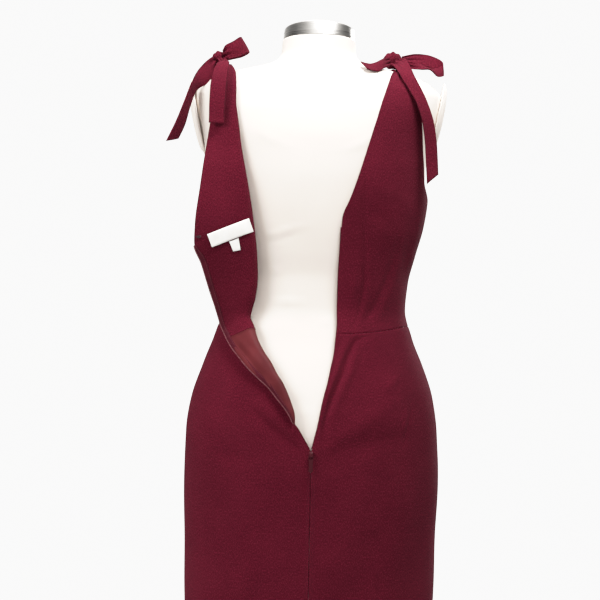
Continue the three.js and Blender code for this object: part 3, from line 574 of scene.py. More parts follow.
def spaced(low, high, step, near_low=True, near_high=True):
    """Places from low to high, with extra ones close to the ends."""
    middle = np.linspace(low, high, max(3, round(abs(high - low) / step)))
    sign = np.sign(high - low)
    extra = [low + sign * n for n in NEAR] * near_low + [high - sign * n for n in NEAR] * near_high
    return np.array(sorted({*middle.tolist(), *extra}, reverse=bool(sign < 0)))


def across(width, step, near_low=True, near_high=True):
    """The columns of a panel, as shares of its width."""
    return spaced(0, width, step, near_low, near_high) / width


# rows up the bodice and up the skirt
BODICE_LEVELS = np.concatenate([spaced(WAIST, SHOULDER, 3.5, near_high=False),
                                spaced(SHOULDER, STRAP_END, 2.4, near_low=False)[1:]])[:, None]
SKIRT_LEVELS = np.concatenate([np.linspace(HEM, SLIDER, 86)[:-1],
                               spaced(SLIDER, WAIST, 3, near_low=False)])[:, None]
SEAM_GAP = 0.08  # between a skirt and its bodice
SIDE_SEAM = 0.5  # how deep the cloth turns in at a side seam
WAIST_SEAM_RIGHT = (0.55, 1.3)  # how deep and over what width it does at the right back's waist
CALM = 60  # the skirt is even at the waist seam, and as wavy as elsewhere this far below it


def seamed(points, normals, edge, depth=0.8, width=1.7):
    """Turns the cloth in along one edge of its grid, where it is sewn."""
    upright = edge.endswith("column")
    grid = points.swapaxes(0, 1) if upright else points
    if edge.startswith("last"):
        grid = grid[::-1]
    steps = np.linalg.norm(np.diff(grid, axis=0), axis=-1)
    away = np.concatenate([np.zeros((1, grid.shape[1])), np.cumsum(steps, 0)])
    if edge.startswith("last"):
        away = away[::-1]
    if upright:
        away = away.T
    return points - normals * (depth * np.exp(-((away / width) ** 2)))[..., None]


def unevenness(points, size=0.9):
    """Slow, shallow waves, as in any hanging cloth."""
    x, y, z = np.moveaxis(points, -1, 0)
    return size * (np.sin(x / 31 + z / 47 + 0.4) * np.sin(z / 38 - y / 29 + 1.3)
                   + 0.6 * np.sin(x / 17 - z / 71 + y / 23) * np.sin(z / 53 + 2.1))


ROUNDED = 0.3  # how far a cut edge's faces are drawn in, as a share of the thickness


def cloth(name, points, faces, uv, thickness, material):
    """A thin wall on a sheet of quads, with a rounded edge."""
    points, faces = np.asarray(points, float), np.asarray(faces)
    spread = np.cross(points[faces[:, 2]] - points[faces[:, 0]], points[faces[:, 3]] - points[faces[:, 1]])
    spread /= np.maximum(np.linalg.norm(spread, axis=1, keepdims=True), 1e-12)
    normals = np.zeros_like(points)
    centre = np.zeros_like(points)
    for k in range(4):
        np.add.at(normals, faces[:, k], spread)
        np.add.at(centre, faces[:, k], points[faces].mean(1) - points[faces[:, k]])
    normals /= np.maximum(np.linalg.norm(normals, axis=1, keepdims=True), 1e-12)
    edges = np.concatenate([faces[:, [k, (k + 1) % 4]] for k in range(4)])
    keys = edges[:, 0] * len(points) + edges[:, 1]
    border = edges[~np.isin(keys, edges[:, 1] * len(points) + edges[:, 0])]
    rim = np.unique(border)
    inward = centre[rim] - normals[rim] * (centre[rim] * normals[rim]).sum(1, keepdims=True)
    inward /= np.maximum(np.linalg.norm(inward, axis=1, keepdims=True), 1e-12)
    drawn_in = points.copy()
    drawn_in[rim] += inward * thickness * ROUNDED
    count = len(points)
    where = np.zeros(count, int)
    where[rim] = 2 * count + np.arange(len(rim))
    half = normals * thickness / 2
    a, b = border[:, 0], border[:, 1]
    walls = np.concatenate([faces, faces[:, ::-1] + count,
                            np.stack([b, a, where[a], where[b]], 1),
                            np.stack([where[b], where[a], a + count, b + count], 1)])
    return piece(name, np.concatenate([drawn_in + half, drawn_in - half, points[rim]]), walls, material,
                 np.concatenate([uv, uv, uv[rim]]))


def sheet_of(name, rows, material, thickness):
    """A cloth piece from a grid of its middle."""
    faces, _ = quads(*rows.shape[:2])
    return cloth(name, rows.reshape(-1, 3), faces, laid_flat(rows).reshape(-1, 2), thickness, material)


def cut_size(rows):
    """Width, length and area of a grid of cloth, in metres."""
    wide = np.linalg.norm(np.diff(rows, axis=1), axis=-1).sum(1).max() * MM
    long = np.linalg.norm(np.diff(rows, axis=0), axis=-1).sum(0).max() * MM
    a, b = rows[1:, 1:] - rows[:-1, :-1], rows[:-1, 1:] - rows[1:, :-1]
    area = 0.5 * np.linalg.norm(np.cross(a, b), axis=-1).sum() * MM * MM
    return wide, long, area


NARROWEST = 0.012  # a sheet's flat width is at least a zip tape's, in metres


def sewn(made, rows, slot, held, rests_on, *nodes):
    """Works out a cloth piece's cut, hides the imported solids it replaces and gives it its body; slot, held
    and rests_on are not used.
    """
    wide, long, area = cut_size(rows)
    wide = max(wide, NARROWEST)
    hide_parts(*nodes)
    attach(made, DRESS_BODY)


def weave(tree, yarn, crinkle):
    """The height of a plain weave of uneven hard-twisted yarns, yarn in metres."""
    return reckon(tree, "MULTIPLY", yarns(tree, "X", yarn, crinkle, 6),
                  yarns(tree, "Y", yarn * 1.15, crinkle, 6))


def crepe_material(name, dark, main, light):
    """Dull crepe whose tone follows its yarns, small flecks and broad clouds."""
    made, tree, shader = new_material(name, roughness=0.95, specular=0.045, sheen=0.03,
                                      sheen_roughness=0.6, sheen_tint=(1, 0.35, 0.45, 1))
    place = put(tree, "ShaderNodeTexCoord").outputs["Object"]
    threads = weave(tree, 0.0007, 4.0)
    broad = put(tree, "ShaderNodeTexNoise", {"Vector": place, "Scale": 9, "Detail": 4, "Roughness": 0.6})
    uv = put(tree, "ShaderNodeUVMap", uv_map="cloth").outputs["UV"]
    streaks = put(tree, "ShaderNodeMapping", {"Vector": uv, "Scale": (820, 420, 1)}).outputs["Vector"]
    fleck = noise(tree, 1, 3, streaks)
    flecked = put(tree, "ShaderNodeMapRange", {"Value": fleck, "From Min": 0.45, "From Max": 0.66}).outputs[0]
    tone = reckon(tree, "ADD", reckon(tree, "ADD", broad.outputs["Fac"], flecked), threads)
    share = reckon(tree, "DIVIDE", tone, 2.6)
    coloured(tree, shader, share, (0.20, dark), (0.42, main), (0.72, light))
    relief(tree, shader, reckon(tree, "ADD", threads, fleck), 0.7, 0.0004)
    return made


crepe = crepe_material("burgundy_crepe", (0.045, 0.0026, 0.0075), (0.079, 0.0050, 0.0135),
                       (0.140, 0.0115, 0.0250))

# each crease: its height, its width, and x, z, strength along it
BACK_RIGHT_CREASES = (
    (-1.7, 1.9, ((54, 1050, 0.8), (57, 1057, 1), (64, 1067, 1), (68, 1094, 1), (72, 1146, 1),
                 (70, 1245, 0.4), (71, 1300, 0.1))),
    (0.8, 5.0, ((62, 1062, 0.7), (76, 1094, 1), (80, 1146, 0.6), (78, 1200, 0.1))),
    (-2.1, 4.5, ((122, 1187, 0.1), (112, 1149, 0.7), (101, 1115, 1), (82, 1074, 1), (71, 1061, 0.4))),
    (1.6, 6.0, ((131, 1178, 0.1), (121, 1140, 0.8), (110, 1104, 1), (92, 1066, 0.6))),
    (-2.2, 8.0, ((142, 1225, 0.1), (134, 1160, 1), (132, 1110, 0.6), (132, 1075, 0.2))),
    (1.3, 5.0, ((62, 1146, 0.1), (56, 1110, 1), (50, 1072, 0.3))),
    (-1.6, 3.0, ((68, 1140, 0.1), (74, 1120, 1), (66, 1086, 0.6), (62, 1070, 0.1))),
    (-5.0, 3.1, ((76, 1037, 0.1), (60, 1034, 0.5), (52, 1018, 0.8), (45, 1003, 1), (41, 985, 0.8),
                 (33, 969, 1), (28, 952, 1), (21, 931, 0.8), (18, 915, 0.6), (18, 889, 0.2))),
    (2.8, 4.5, ((70, 1028, 0.1), (60, 1010, 0.7), (52, 985, 1), (42, 962, 1), (34, 940, 0.8),
                (30, 915, 0.3))),
    (2.2, 3.0, ((48, 1036, 0.2), (42, 1016, 0.8), (36, 996, 1), (27, 970, 0.8), (18, 944, 0.4))),
    (-1.8, 2.0, ((142, 945, 0.1), (139, 926, 1), (133, 900, 0.8), (129, 880, 0.1))),
    (1.6, 3.4, ((136, 940, 0.1), (133, 916, 0.9), (127, 892, 0.2))),
    (2.2, 12.0, ((24, 886, 0.6), (68, 915, 1), (112, 945, 0.5), (140, 962, 0.1))),
    (-2.4, 14.0, ((34, 868, 0.3), (84, 890, 1), (130, 900, 0.6), (160, 900, 0.1))),
    (1.4, 5.0, ((96, 960, 0.1), (112, 972, 1), (128, 990, 0.2))),
    (-2.4, 22.0, ((110, 770, 0.1), (80, 720, 1), (60, 672, 1), (44, 600, 0.4))),
    (2.2, 24.0, ((140, 800, 0.2), (120, 730, 1), (104, 640, 0.8), (96, 540, 0.5))),
    (-2.4, 20.0, ((150, 700, 0.2), (146, 600, 1), (142, 440, 1))),
    (2.4, 20.0, ((30, 560, 0.2), (26, 500, 0.8), (24, 425, 1))),
    (1.2, 4.0, ((84, 777, 0.1), (92, 772, 1), (100, 768, 0.1))),
    (1.4, 7.0, ((22, 734, 0.1), (30, 718, 1), (40, 700, 0.1))),
    (-1.6, 10.0, ((60, 1240, 0.1), (84, 1215, 0.8), (112, 1200, 0.5), (140, 1205, 0.1))),
    (1.4, 9.0, ((66, 1270, 0.1), (92, 1250, 0.8), (126, 1236, 0.2))),
)


TAPER_FROM, TAPER = 1396, 0.3  # where a strap starts to narrow, and by what share
GATHER_FROM = 1378  # where its folds start
HEM_FOLD = 0.75  # the radius of the hem's fold
HEM_RISE = (0, 0, 1.3)  # lifts the fold so that it ends at the hem's level


def tapered(points, level, middle):
    """The top of a strap narrows into its tie."""
    narrower = 1 - TAPER * ease(level, TAPER_FROM, STRAP_END)
    points[..., 0] = middle + (points[..., 0] - middle) * narrower
    return points


def gathers(points, normals, level, t, height=1.3, folds=4):
    """The strap is drawn together in small upright folds below its tie."""
    rise = height * ease(level, GATHER_FROM, STRAP_END) * np.cos(2 * np.pi * folds * t + 0.7)
    return points + normals * rise[..., None]


def hemmed(rows, normals):
    """The hem's turn, inside first: up the inside, round the fold and on into the skirt."""
    bottom, out, down = rows[0], normals[0], np.array((0, 0, -1))
    turned = [rows[k] - normals[k] * 2 * HEM_FOLD for k in (4, 3, 2, 1)]
    turned += [bottom + out * HEM_FOLD * (math.cos(a) - 1) + down * HEM_FOLD * math.sin(a)
               for a in np.radians((180, 135, 90, 45))]
    return np.concatenate([np.array(turned) + HEM_RISE, rows[:1] + HEM_RISE, rows[1:]])


columns = across(width=190, step=2.6)[None, :]
bodice_right = tapered(back_right(BODICE_LEVELS, columns), BODICE_LEVELS, middle=124)
normals = grid_normals(bodice_right)
bodice_right = gathers(bodice_right, normals, BODICE_LEVELS, columns)
raised = lines(bodice_right, BACK_RIGHT_CREASES, BACK) + unevenness(bodice_right, 0.6)
bodice_right = bodice_right + normals * raised[..., None]
bodice_right = seamed(bodice_right, normals, "first_row", *WAIST_SEAM_RIGHT)
bodice_right = seamed(bodice_right, normals, "last_column", SIDE_SEAM)
made = sheet_of("bodice_back_right_crepe", bodice_right, crepe, CREPE_THICK)
sewn(made, bodice_right, "crepe", "draped", ["form_torso_jersey"], "bodice_back_right")

skirt_right = back_right(SKIRT_LEVELS, columns)
skirt_right[-1, :, 2] -= SEAM_GAP
skirt_normals = grid_normals(skirt_right)
calm_at_waist = ease(WAIST - SKIRT_LEVELS, 0, CALM)
raised = lines(skirt_right, BACK_RIGHT_CREASES, BACK) + unevenness(skirt_right) * calm_at_waist
skirt_right = skirt_right + skirt_normals * raised[..., None]
skirt_right = seamed(skirt_right, skirt_normals, "last_row", *WAIST_SEAM_RIGHT)
skirt_right = seamed(skirt_right, skirt_normals, "last_column", SIDE_SEAM)
skirt_right = hemmed(skirt_right, skirt_normals)
made = sheet_of("skirt_back_right_crepe", skirt_right, crepe, CREPE_THICK)
sewn(made, skirt_right, "crepe", "hung", ["form_torso_jersey"], "skirt_back_right")


# The left back, also in two panels: from the side seam along the body to a soft roll, round it and
# out again to the free edge, so that its inside faces the camera. fold is the roll's outermost
# line, edge the free edge, drop how much lower the edge lies, stand how far it stands off.
ARMHOLE_LEFT = (("level", "x"), (
    (ARM_EDGE, 159),
    (1313, 156),
    (SHOULDER, 155),
    (1363, 154.5),
    (1380, 154),
    (1400, 151),
    (STRAP_END, 147),
))
FLAP = (("level", "fold", "edge", "drop", "roll", "stand"), (
    (SLIDER, -1.2, -1.0, 0, 1.0, -1.2),
    (882, -3.6, -3.4, 0, 1.2, -1.0),
    (892, -9, -9.4, 0, 1.8, -0.8),
    (905, -15.5, -17, 0, 2.6, -0.8),
    (919, -21.5, -25, 1, 3.4, -1),
    (934, -26.7, -32.5, 3, 4, -1),
    (958, -35.4, -49.5, 5, 4.2, -3),
    (976, -43, -62, 6, 4.6, -5),
    (989, -50.3, -74, 7, 5, -5),
    (1009, -60, -91, 9, 5.5, -6),
    (1026, -71, -104, 10, 6, -9),
    (1043, -80, -115.5, 13, 6.5, -13),
    (1060, -86, -125, 15, 7, -18),
    (1071, -91.5, -131.5, 15, 7, -22),
    (1083, -89, -136, 15, 7.5, -23),
    (1100, -84.5, -141.5, 15, 8, -22),
    (1123, -82, -149, 18, 8.5, -20),
    (1160, -84, -160.5, 22, 9, -16),
    (1200, -89, -172.5, 29, 9, -13),
    (1226, -93, -171.5, 26, 8.5, -12),
    (1264, -100, -166, 16, 7.5, -14),
    (1303, -108, -160.5, 11, 6, -15),
    (SHOULDER, -115, -153.5, 7, 4.2, -16),
    (1363, -118, -151, 5, 3.4, -13),
    (1380, -118.5, -147, 3, 2.8, -9),
    (1400, -121, -141, 1, 2.2, -5),
    (STRAP_END, -123, -131.5, 0, 1.7, 0),
))
FLAT_FROM, FLAT_TOP = -45, 1200  # up to this level a row can also lie flat, from this x to its edge
TURNED = 934  # from this level up the flap is turned out as the table says
CENTRE_LEFT = -0.17  # the left edge of the closed seam below the slider
UNDER = across(width=150, step=2.8, near_high=False)[None, :]
ROLLED = np.linspace(0, 1, 13)[None, 1:]
OVER = across(width=80, step=2.4, near_low=False)[None, 1:]
APEX = UNDER.shape[1] + 5  # the column on the roll's outermost line


def stand_shape(t):
    """How the turned-out part leaves the roll: slowly, then straight."""
    return t * t * (1.6 - 0.6 * t)


def under_places(level, inner):
    """x, reach and drop of the part that lies on the body, from the outer edge to inner."""
    outer_x = -read(ARMHOLE_LEFT, "x", level)
    inner_angle = angle_at(inner, np.minimum(level, SHOULDER))
    degrees = mix(outer_angle(-1, level, ARMHOLE_LEFT), inner_angle, UNDER)
    lower = dip_at(degrees, level)
    z = np.minimum(level, SHOULDER) - lower
    around = around_section(cloth_section(z), degrees, z)
    x = mix(around[..., 0], mix(outer_x, inner, UNDER), ease(level, ARM_EDGE, SHOULDER))
    hanging = level < ARM_EDGE
    return (np.where(hanging, around[..., 0], x),
            np.where(hanging, -around[..., 1], cloth_reach(level, x, BACK)),
            np.where(hanging, lower, 0))


def turned_places(level):
    """The same three for a whole row of the part that is turned out."""
    fold, edge, drop, roll, stand = (read(FLAP, name, level) for name in FLAP[0][1:])
    x, reach, lower = under_places(level, fold - roll)
    back = np.minimum(roll, np.maximum(0, (fold - edge) / 2))
    a = np.pi * ROLLED
    out = np.where(a < np.pi / 2, roll, back)
    roll_x = fold - out + out * np.sin(a)
    roll_reach = reach[:, -1:] + roll * (1 - np.cos(a))
    over_x = mix(roll_x[:, -1:], edge, OVER)
    over_reach = roll_reach[:, -1:] + stand * stand_shape(OVER)
    low = lower[:, -1:]
    return (np.concatenate([x, roll_x, over_x], 1),
            np.concatenate([reach, roll_reach, over_reach], 1),
            np.concatenate([lower, low + 0 * roll_x, low + drop * OVER], 1))


def flat_places(level):
    """The same three where the cloth lies flat up to the closed zip."""
    edge = np.where(level > SLIDER, read(FLAP, "edge", level), CENTRE_LEFT)
    x, reach, lower = under_places(level, np.full_like(level, FLAT_FROM, dtype=float))
    spread = np.concatenate([ROLLED * 0.5, 0.5 + OVER * 0.5], 1)
    flat_x = mix(FLAT_FROM, edge, spread)
    flat_lower = dip_at(angle_at(flat_x, level), level)
    flat_reach = cloth_reach(level, flat_x, BACK, flat_lower)
    return (np.concatenate([x, flat_x], 1),
            np.concatenate([reach, flat_reach], 1),
            np.concatenate([lower, flat_lower], 1))


def back_left(level):
    """The cloth's middle, flat below the slider and turned out above it."""
    turned = ease(level, SLIDER, TURNED)
    flat, open_wide = flat_places(np.minimum(level, FLAT_TOP)), turned_places(level)
    x, reach, lower = (mix(a, b, turned) for a, b in zip(flat, open_wide))
    return on_row(level, x, reach, BACK, lower)


BACK_LEFT_CREASES = (
    (-3.06, 8.0, ((-90, 935, 0.1), (-72, 922, 0.7), (-51, 905, 1), (-30, 890, 0.9), (-14, 876, 0.3))),
    (2.38, 9.0, ((-80, 950, 0.1), (-56, 924, 0.8), (-30, 903, 1), (-12, 884, 0.3))),
    (-2.38, 16.0, ((-150, 1010, 0.1), (-136, 960, 0.8), (-124, 900, 0.5), (-118, 840, 0.1))),
    (2.04, 22.0, ((-100, 900, 0.2), (-92, 820, 0.8), (-90, 720, 0.6), (-92, 600, 0.2))),
    (-2.21, 20.0, ((-60, 840, 0.1), (-56, 740, 0.8), (-52, 600, 0.8), (-50, 440, 1))),
    (2.38, 24.0, ((-130, 640, 0.2), (-126, 540, 0.9), (-124, 425, 1))),
    (-1.53, 10.0, ((-150, 872, 0.1), (-110, 866, 0.9), (-60, 868, 0.2))),
)

bodice_left = tapered(back_left(BODICE_LEVELS), BODICE_LEVELS, middle=-138)
normals_left = grid_normals(bodice_left)
flap_share = np.concatenate([0 * UNDER, ROLLED, 1 + 0 * OVER], 1)
# the turned-out part ripples a little, and carries the strap's folds on
loose = np.concatenate([0 * UNDER, 0 * ROLLED, OVER * (1 - 0.4 * OVER)], 1)
ripple = 0.9 * np.sin(BODICE_LEVELS / 19 + 1.0) * np.sin(BODICE_LEVELS / 41) * loose
bodice_left = bodice_left + normals_left * ripple[..., None]
strap_places = np.concatenate([UNDER, 1 + ROLLED * 0.2, 1.2 + OVER * 0.6], 1)
bodice_left = gathers(bodice_left, normals_left, BODICE_LEVELS, strap_places, height=0.7, folds=3)
bodice_left = seamed(bodice_left, normals_left, "first_row")
bodice_left = seamed(bodice_left, normals_left, "first_column", SIDE_SEAM)
made = sheet_of("bodice_back_left_crepe", bodice_left, crepe, CREPE_THICK)
sewn(made, bodice_left, "crepe", "draped", ["form_torso_jersey"], "bodice_back_left")

skirt_left = back_left(SKIRT_LEVELS)
skirt_left[-1, :, 2] -= SEAM_GAP
skirt_left_normals = grid_normals(skirt_left)
# the creases of the closed part fade out on the roll and the turned-out part
hangs_free = 1 - ease(SKIRT_LEVELS, SLIDER - 20, TURNED) * flap_share
raised = lines(skirt_left, BACK_LEFT_CREASES, BACK) + unevenness(skirt_left) * calm_at_waist
skirt_left = skirt_left + skirt_left_normals * (raised * hangs_free)[..., None]
skirt_left = seamed(skirt_left, skirt_left_normals, "last_row")
skirt_left = seamed(skirt_left, skirt_left_normals, "first_column", SIDE_SEAM)
whole_skirt_left = hemmed(skirt_left, skirt_left_normals)
made = sheet_of("skirt_back_left_crepe", whole_skirt_left, crepe, CREPE_THICK)
sewn(made, whole_skirt_left, "crepe", "hung", ["form_torso_jersey"], "skirt_back_left")


# What is sewn to the turned-out side: a facing of the same crepe above the waist and a browner
# satin lining below it, each turned under and stitched along the zip, and free at the roll.
FACING_THICK = 0.7
FACING_LIFT = 1.0  # from the middle of the crepe to the middle of what lies on it
LINING_FROM = 886
PUFFED = (930, 990)  # between these levels the lining's folds grow to their full height
satin, tree, shader = new_material("satin_lining", roughness=0.55, specular=0.09, sheen=0.03, anisotropic=0.3,
                                   sheen_roughness=0.3, sheen_tint=(1, 0.7, 0.62, 1))
coloured(tree, shader, noise(tree, 26, 4), (0.3, (0.066, 0.0105, 0.0128)),
         (0.7, (0.108, 0.0185, 0.0215)))
relief(tree, shader, weave(tree, 0.0004, 1.0), 0.3, 0.0001)


def laid_on(rows, normals):
    """The turned-out part of a panel, lifted off the cloth that carries it."""
    return rows[:, APEX:] - normals[:, APEX:] * FACING_LIFT


facing_normals = grid_normals(bodice_left)
facing_rows = laid_on(bodice_left, facing_normals)
facing_rows[:, -1] = mix(facing_rows[:, -1], facing_rows[:, -2], 0.5)
made = sheet_of("bodice_facing_left_crepe", facing_rows, crepe, FACING_THICK)
sewn(made, facing_rows, "crepe", "laid", ["bodice_back_left_crepe"], "bodice_facing_left")

LINING_FOLDS = (
    (1.6, 4.5, ((-112, 1036, 0.3), (-98, 1024, 1), (-80, 1004, 0.8), (-62, 984, 0.3))),
    (-1.2, 4.0, ((-118, 1030, 0.2), (-104, 1012, 1), (-86, 990, 0.8), (-66, 970, 0.2))),
    (1.0, 3.5, ((-76, 990, 0.2), (-62, 972, 1), (-48, 952, 0.5))),
)
lined = SKIRT_LEVELS[:, 0] >= LINING_FROM
lining_normals = grid_normals(skirt_left)
lining_rows = laid_on(skirt_left, lining_normals)[lined]
puffed = np.abs(lines(lining_rows, LINING_FOLDS, BACK)) * ease(SKIRT_LEVELS[lined], *PUFFED)
lining_rows = lining_rows - lining_normals[:, APEX:][lined] * puffed[..., None]
lining_rows[:, -1] = mix(lining_rows[:, -1], lining_rows[:, -2], 0.5)
made = sheet_of("skirt_lining_left_satin", lining_rows, satin, FACING_THICK)
sewn(made, lining_rows, "satin", "laid", ["skirt_back_left_crepe"], "skirt_lining_left")


# The zip is a fine nylon coil on woven tapes, one sewn inside each open edge, and a lacquered
# slider and pull at its lower end.
TAPE_THICK, TAPE_WIDE, TAPE_TOP = 0.6, 8, 1196
TAPE_SHARE = 0.28  # the left tape is at most this share of the turned-out cloth
LEFT_TAPE_LIFT, RIGHT_TAPE_LIFT = 1.75, 0.95  # from the middle of the crepe
TAPE_TIP, TAPE_NARROWED = 26, 0.4  # the tape narrows to this share over its topmost stretch
TAPE_COLUMNS = (0.2, 0.5, 0.8, 1.0)  # shares of its width, after one just past the cloth's edge
PAST_EDGE = 5  # how far rows are carried on past their edge
tape_cloth, tree, shader = new_material("zip_tape_weave", roughness=0.8, specular=0.1, sheen=0.04,
                                        sheen_tint=(1, 0.6, 0.66, 1))
coloured(tree, shader, noise(tree, 60, 3), (0.3, (0.040, 0.0040, 0.0085)),
         (0.7, (0.066, 0.0065, 0.0135)))
relief(tree, shader, weave(tree, 0.0009, 0.5), 0.5, 0.0003)


def from_edge(rows, normals, distances):
    """Places and normals on each row, at distances measured back from its last point."""
    places, facing = [], []
    for row, normal, wanted in zip(rows[:, ::-1], normals[:, ::-1], distances):
        at = np.concatenate([[0], np.cumsum(np.linalg.norm(np.diff(row, axis=0), axis=-1))])
        past = row[0] + (row[0] - row[2]) / np.linalg.norm(row[0] - row[2]) * PAST_EDGE
        at, row = np.concatenate([[-PAST_EDGE], at]), np.concatenate([[past], row])
        normal = np.concatenate([normal[:1], normal])
        places.append(np.stack([np.interp(wanted, at, row[:, k]) for k in range(3)], -1))
        facing.append(np.stack([np.interp(wanted, at, normal[:, k]) for k in range(3)], -1))
    facing = np.array(facing)
    return np.array(places), facing / np.linalg.norm(facing, axis=-1, keepdims=True)


def zip_side(skirt, skirt_normals, bodice, bodice_normals, lift, share=None):
    """The tape's rows, on the edge's own rows from the slider up."""
    low = (SKIRT_LEVELS[:, 0] > SLIDER + 2) & (SKIRT_LEVELS[:, 0] < WAIST - 1)
    high = BODICE_LEVELS[:, 0] < TAPE_TOP
    rows = np.concatenate([skirt[low], bodice[high]])
    normals = np.concatenate([skirt_normals[low], bodice_normals[high]])
    levels = np.concatenate([SKIRT_LEVELS[low, 0], BODICE_LEVELS[high, 0]])
    wide = np.full(len(rows), float(TAPE_WIDE))
    if share is not None:
        turned_out = np.linalg.norm(np.diff(rows[:, APEX:], axis=1), axis=-1).sum(1)
        wide = np.minimum(wide, turned_out * share)
    wide = wide * mix(1, TAPE_NARROWED, ease(levels, TAPE_TOP - TAPE_TIP, TAPE_TOP))
    distances = np.stack([-1.0 + 0 * wide] + [wide * column for column in TAPE_COLUMNS], -1)
    places, facing = from_edge(rows, normals, distances)
    return places - facing * lift, facing


tape_left, tape_left_facing = zip_side(skirt_left, lining_normals, bodice_left, facing_normals,
                                       LEFT_TAPE_LIFT, TAPE_SHARE)
made = sheet_of("zip_tape_left_weave", tape_left, tape_cloth, TAPE_THICK)
sewn(made, tape_left, "zip_tape", "laid", ["bodice_facing_left_crepe"], "zip_tape_left")
plain_skirt_right = skirt_right[-len(SKIRT_LEVELS):]
tape_right, tape_right_facing = zip_side(
    plain_skirt_right[:, ::-1], grid_normals(plain_skirt_right)[:, ::-1],
    bodice_right[:, ::-1], grid_normals(bodice_right)[:, ::-1], RIGHT_TAPE_LIFT)
made = sheet_of("zip_tape_right_weave", tape_right, tape_cloth, TAPE_THICK)
sewn(made, tape_right, "zip_tape", "laid", ["bodice_back_right_crepe"], "zip_tape_right")


BEAD_SIDES, BEAD_RINGS = 8, 5


def repeated(name, places, along, out, size, material):
    """One small rounded piece at each place, laid along one direction with its top facing out,
    by Geometry Nodes with the piece's size as its inputs."""
    tree = bpy.data.node_groups.new(name, "GeometryNodeTree")
    face = tree.interface
    face.new_socket("Places", in_out="INPUT", socket_type="NodeSocketGeometry")
    sizes = [face.new_socket(label, in_out="INPUT", socket_type="NodeSocketFloat")
             for label in ("Length", "Width", "Height")]
    finish = face.new_socket("Material", in_out="INPUT", socket_type="NodeSocketMaterial")
    face.new_socket("Pieces", in_out="OUTPUT", socket_type="NodeSocketGeometry")
    start, end = tree.nodes.new("NodeGroupInput"), tree.nodes.new("NodeGroupOutput")
    bead = put(tree, "GeometryNodeMeshUVSphere", {
        "Segments": BEAD_SIDES, "Rings": BEAD_RINGS, "Radius": 0.5})
    scale = put(tree, "ShaderNodeCombineXYZ", {
        "X": start.outputs["Length"], "Y": start.outputs["Width"], "Z": start.outputs["Height"]})
    shaped = put(tree, "GeometryNodeTransform", {
        "Geometry": bead.outputs["Mesh"], "Scale": scale.outputs[0]})
    directions = [put(tree, "GeometryNodeInputNamedAttribute", {"Name": label}, data_type="FLOAT_VECTOR")
                  for label in ("along", "out")]
    lying = put(tree, "FunctionNodeAlignRotationToVector", {
        "Vector": directions[0].outputs["Attribute"]}, axis="X")
    turned = put(tree, "FunctionNodeAlignRotationToVector", {
        "Rotation": lying.outputs["Rotation"], "Vector": directions[1].outputs["Attribute"]},
        axis="Z", pivot_axis="X")
    copies = put(tree, "GeometryNodeInstanceOnPoints", {
        "Points": start.outputs["Places"], "Instance": shaped.outputs["Geometry"],
        "Rotation": turned.outputs["Rotation"]})
    real = put(tree, "GeometryNodeRealizeInstances", {"Geometry": copies.outputs["Instances"]})
    dressed = put(tree, "GeometryNodeSetMaterial", {
        "Geometry": real.outputs["Geometry"], "Material": start.outputs["Material"]})
    tree.links.new(dressed.outputs["Geometry"], end.inputs["Pieces"])

    data = bpy.data.meshes.new(name)
    data.from_pydata((np.asarray(places) * MM).tolist(), [], [])
    for label, vectors in (("along", along), ("out", out)):
        attribute = data.attributes.new(label, "FLOAT_VECTOR", "POINT")
        attribute.data.foreach_set("vector", np.asarray(vectors, np.float32).ravel())
    carrier = bpy.data.objects.new(f"{name}_places", data)
    bpy.context.scene.collection.objects.link(carrier)
    modifier = carrier.modifiers.new("repeat", "NODES")
    modifier.node_group = tree
    for socket, value in zip(sizes, size):
        modifier[socket.identifier] = value * MM
    modifier[finish.identifier] = material
    seen = carrier.evaluated_get(bpy.context.evaluated_depsgraph_get())
    result = bpy.data.meshes.new_from_object(seen)
    result.name = name
    result.polygons.foreach_set("use_smooth", np.ones(len(result.polygons), bool))
    made = bpy.data.objects.new(name, result)
    bpy.context.scene.collection.objects.link(made)
    bpy.data.objects.remove(carrier)
    return made


def walk(path, facing, step, margin):
    """Places every step along a path, with their directions along it and out of the cloth."""
    at = np.concatenate([[0], np.cumsum(np.linalg.norm(np.diff(path, axis=0), axis=-1))])
    wanted = np.arange(margin, at[-1] - margin, step)

    def read_at(values, where):
        return np.stack([np.interp(where, at, values[:, k]) for k in range(3)], -1)

    along = read_at(path, wanted + 0.5) - read_at(path, wanted - 0.5)
    along /= np.maximum(np.linalg.norm(along, axis=1, keepdims=True), 1e-9)
    return read_at(path, wanted), along, read_at(facing, wanted)


coil, tree, shader = new_material("nylon_coil_painted_highlight", roughness=0.45, specular=0.3)
# the coil is coloured far lighter than its tape, a painted highlight along each zip edge
coloured(tree, shader, noise(tree, 240, 2), (0.3, (0.13, 0.030, 0.038)), (0.7, (0.24, 0.085, 0.095)))
COIL_PITCH, COIL_SIZE = 1.25, (2.1, 0.95, 0.9)
for zip_name, tape, facing, lift in (("left", tape_left, tape_left_facing, 0.55),
                                     ("right", tape_right, tape_right_facing, 0.5)):
    bead_line = mix(tape[:, 0], tape[:, 1], 0.25) - facing[:, 0] * lift
    places, along, out = walk(bead_line, -facing[:, 0], COIL_PITCH, margin=1)
    sideways = np.cross(along, out)
    coils = repeated(f"zip_coil_{zip_name}", places, sideways, out, COIL_SIZE, coil)
    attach(coils, DRESS_BODY)

# the machine stitches that hold the left tape to the turned-out side
thread, tree, shader = new_material("sewing_thread", roughness=0.75, specular=0.2)
coloured(tree, shader, noise(tree, 700, 2), (0.3, (0.10, 0.012, 0.022)), (0.7, (0.19, 0.045, 0.058)))
STITCH_STEP, STITCH_SIZE, STITCH_LIFT = 2.8, (2.1, 0.5, 0.35), 0.38
stitch_line = tape_left[:, 3] - tape_left_facing[:, 3] * STITCH_LIFT
places, along, out = walk(stitch_line, -tape_left_facing[:, 3], STITCH_STEP, margin=3)
stitches = repeated("zip_stitches_left", places, along, out, STITCH_SIZE, thread)
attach(stitches, DRESS_BODY)

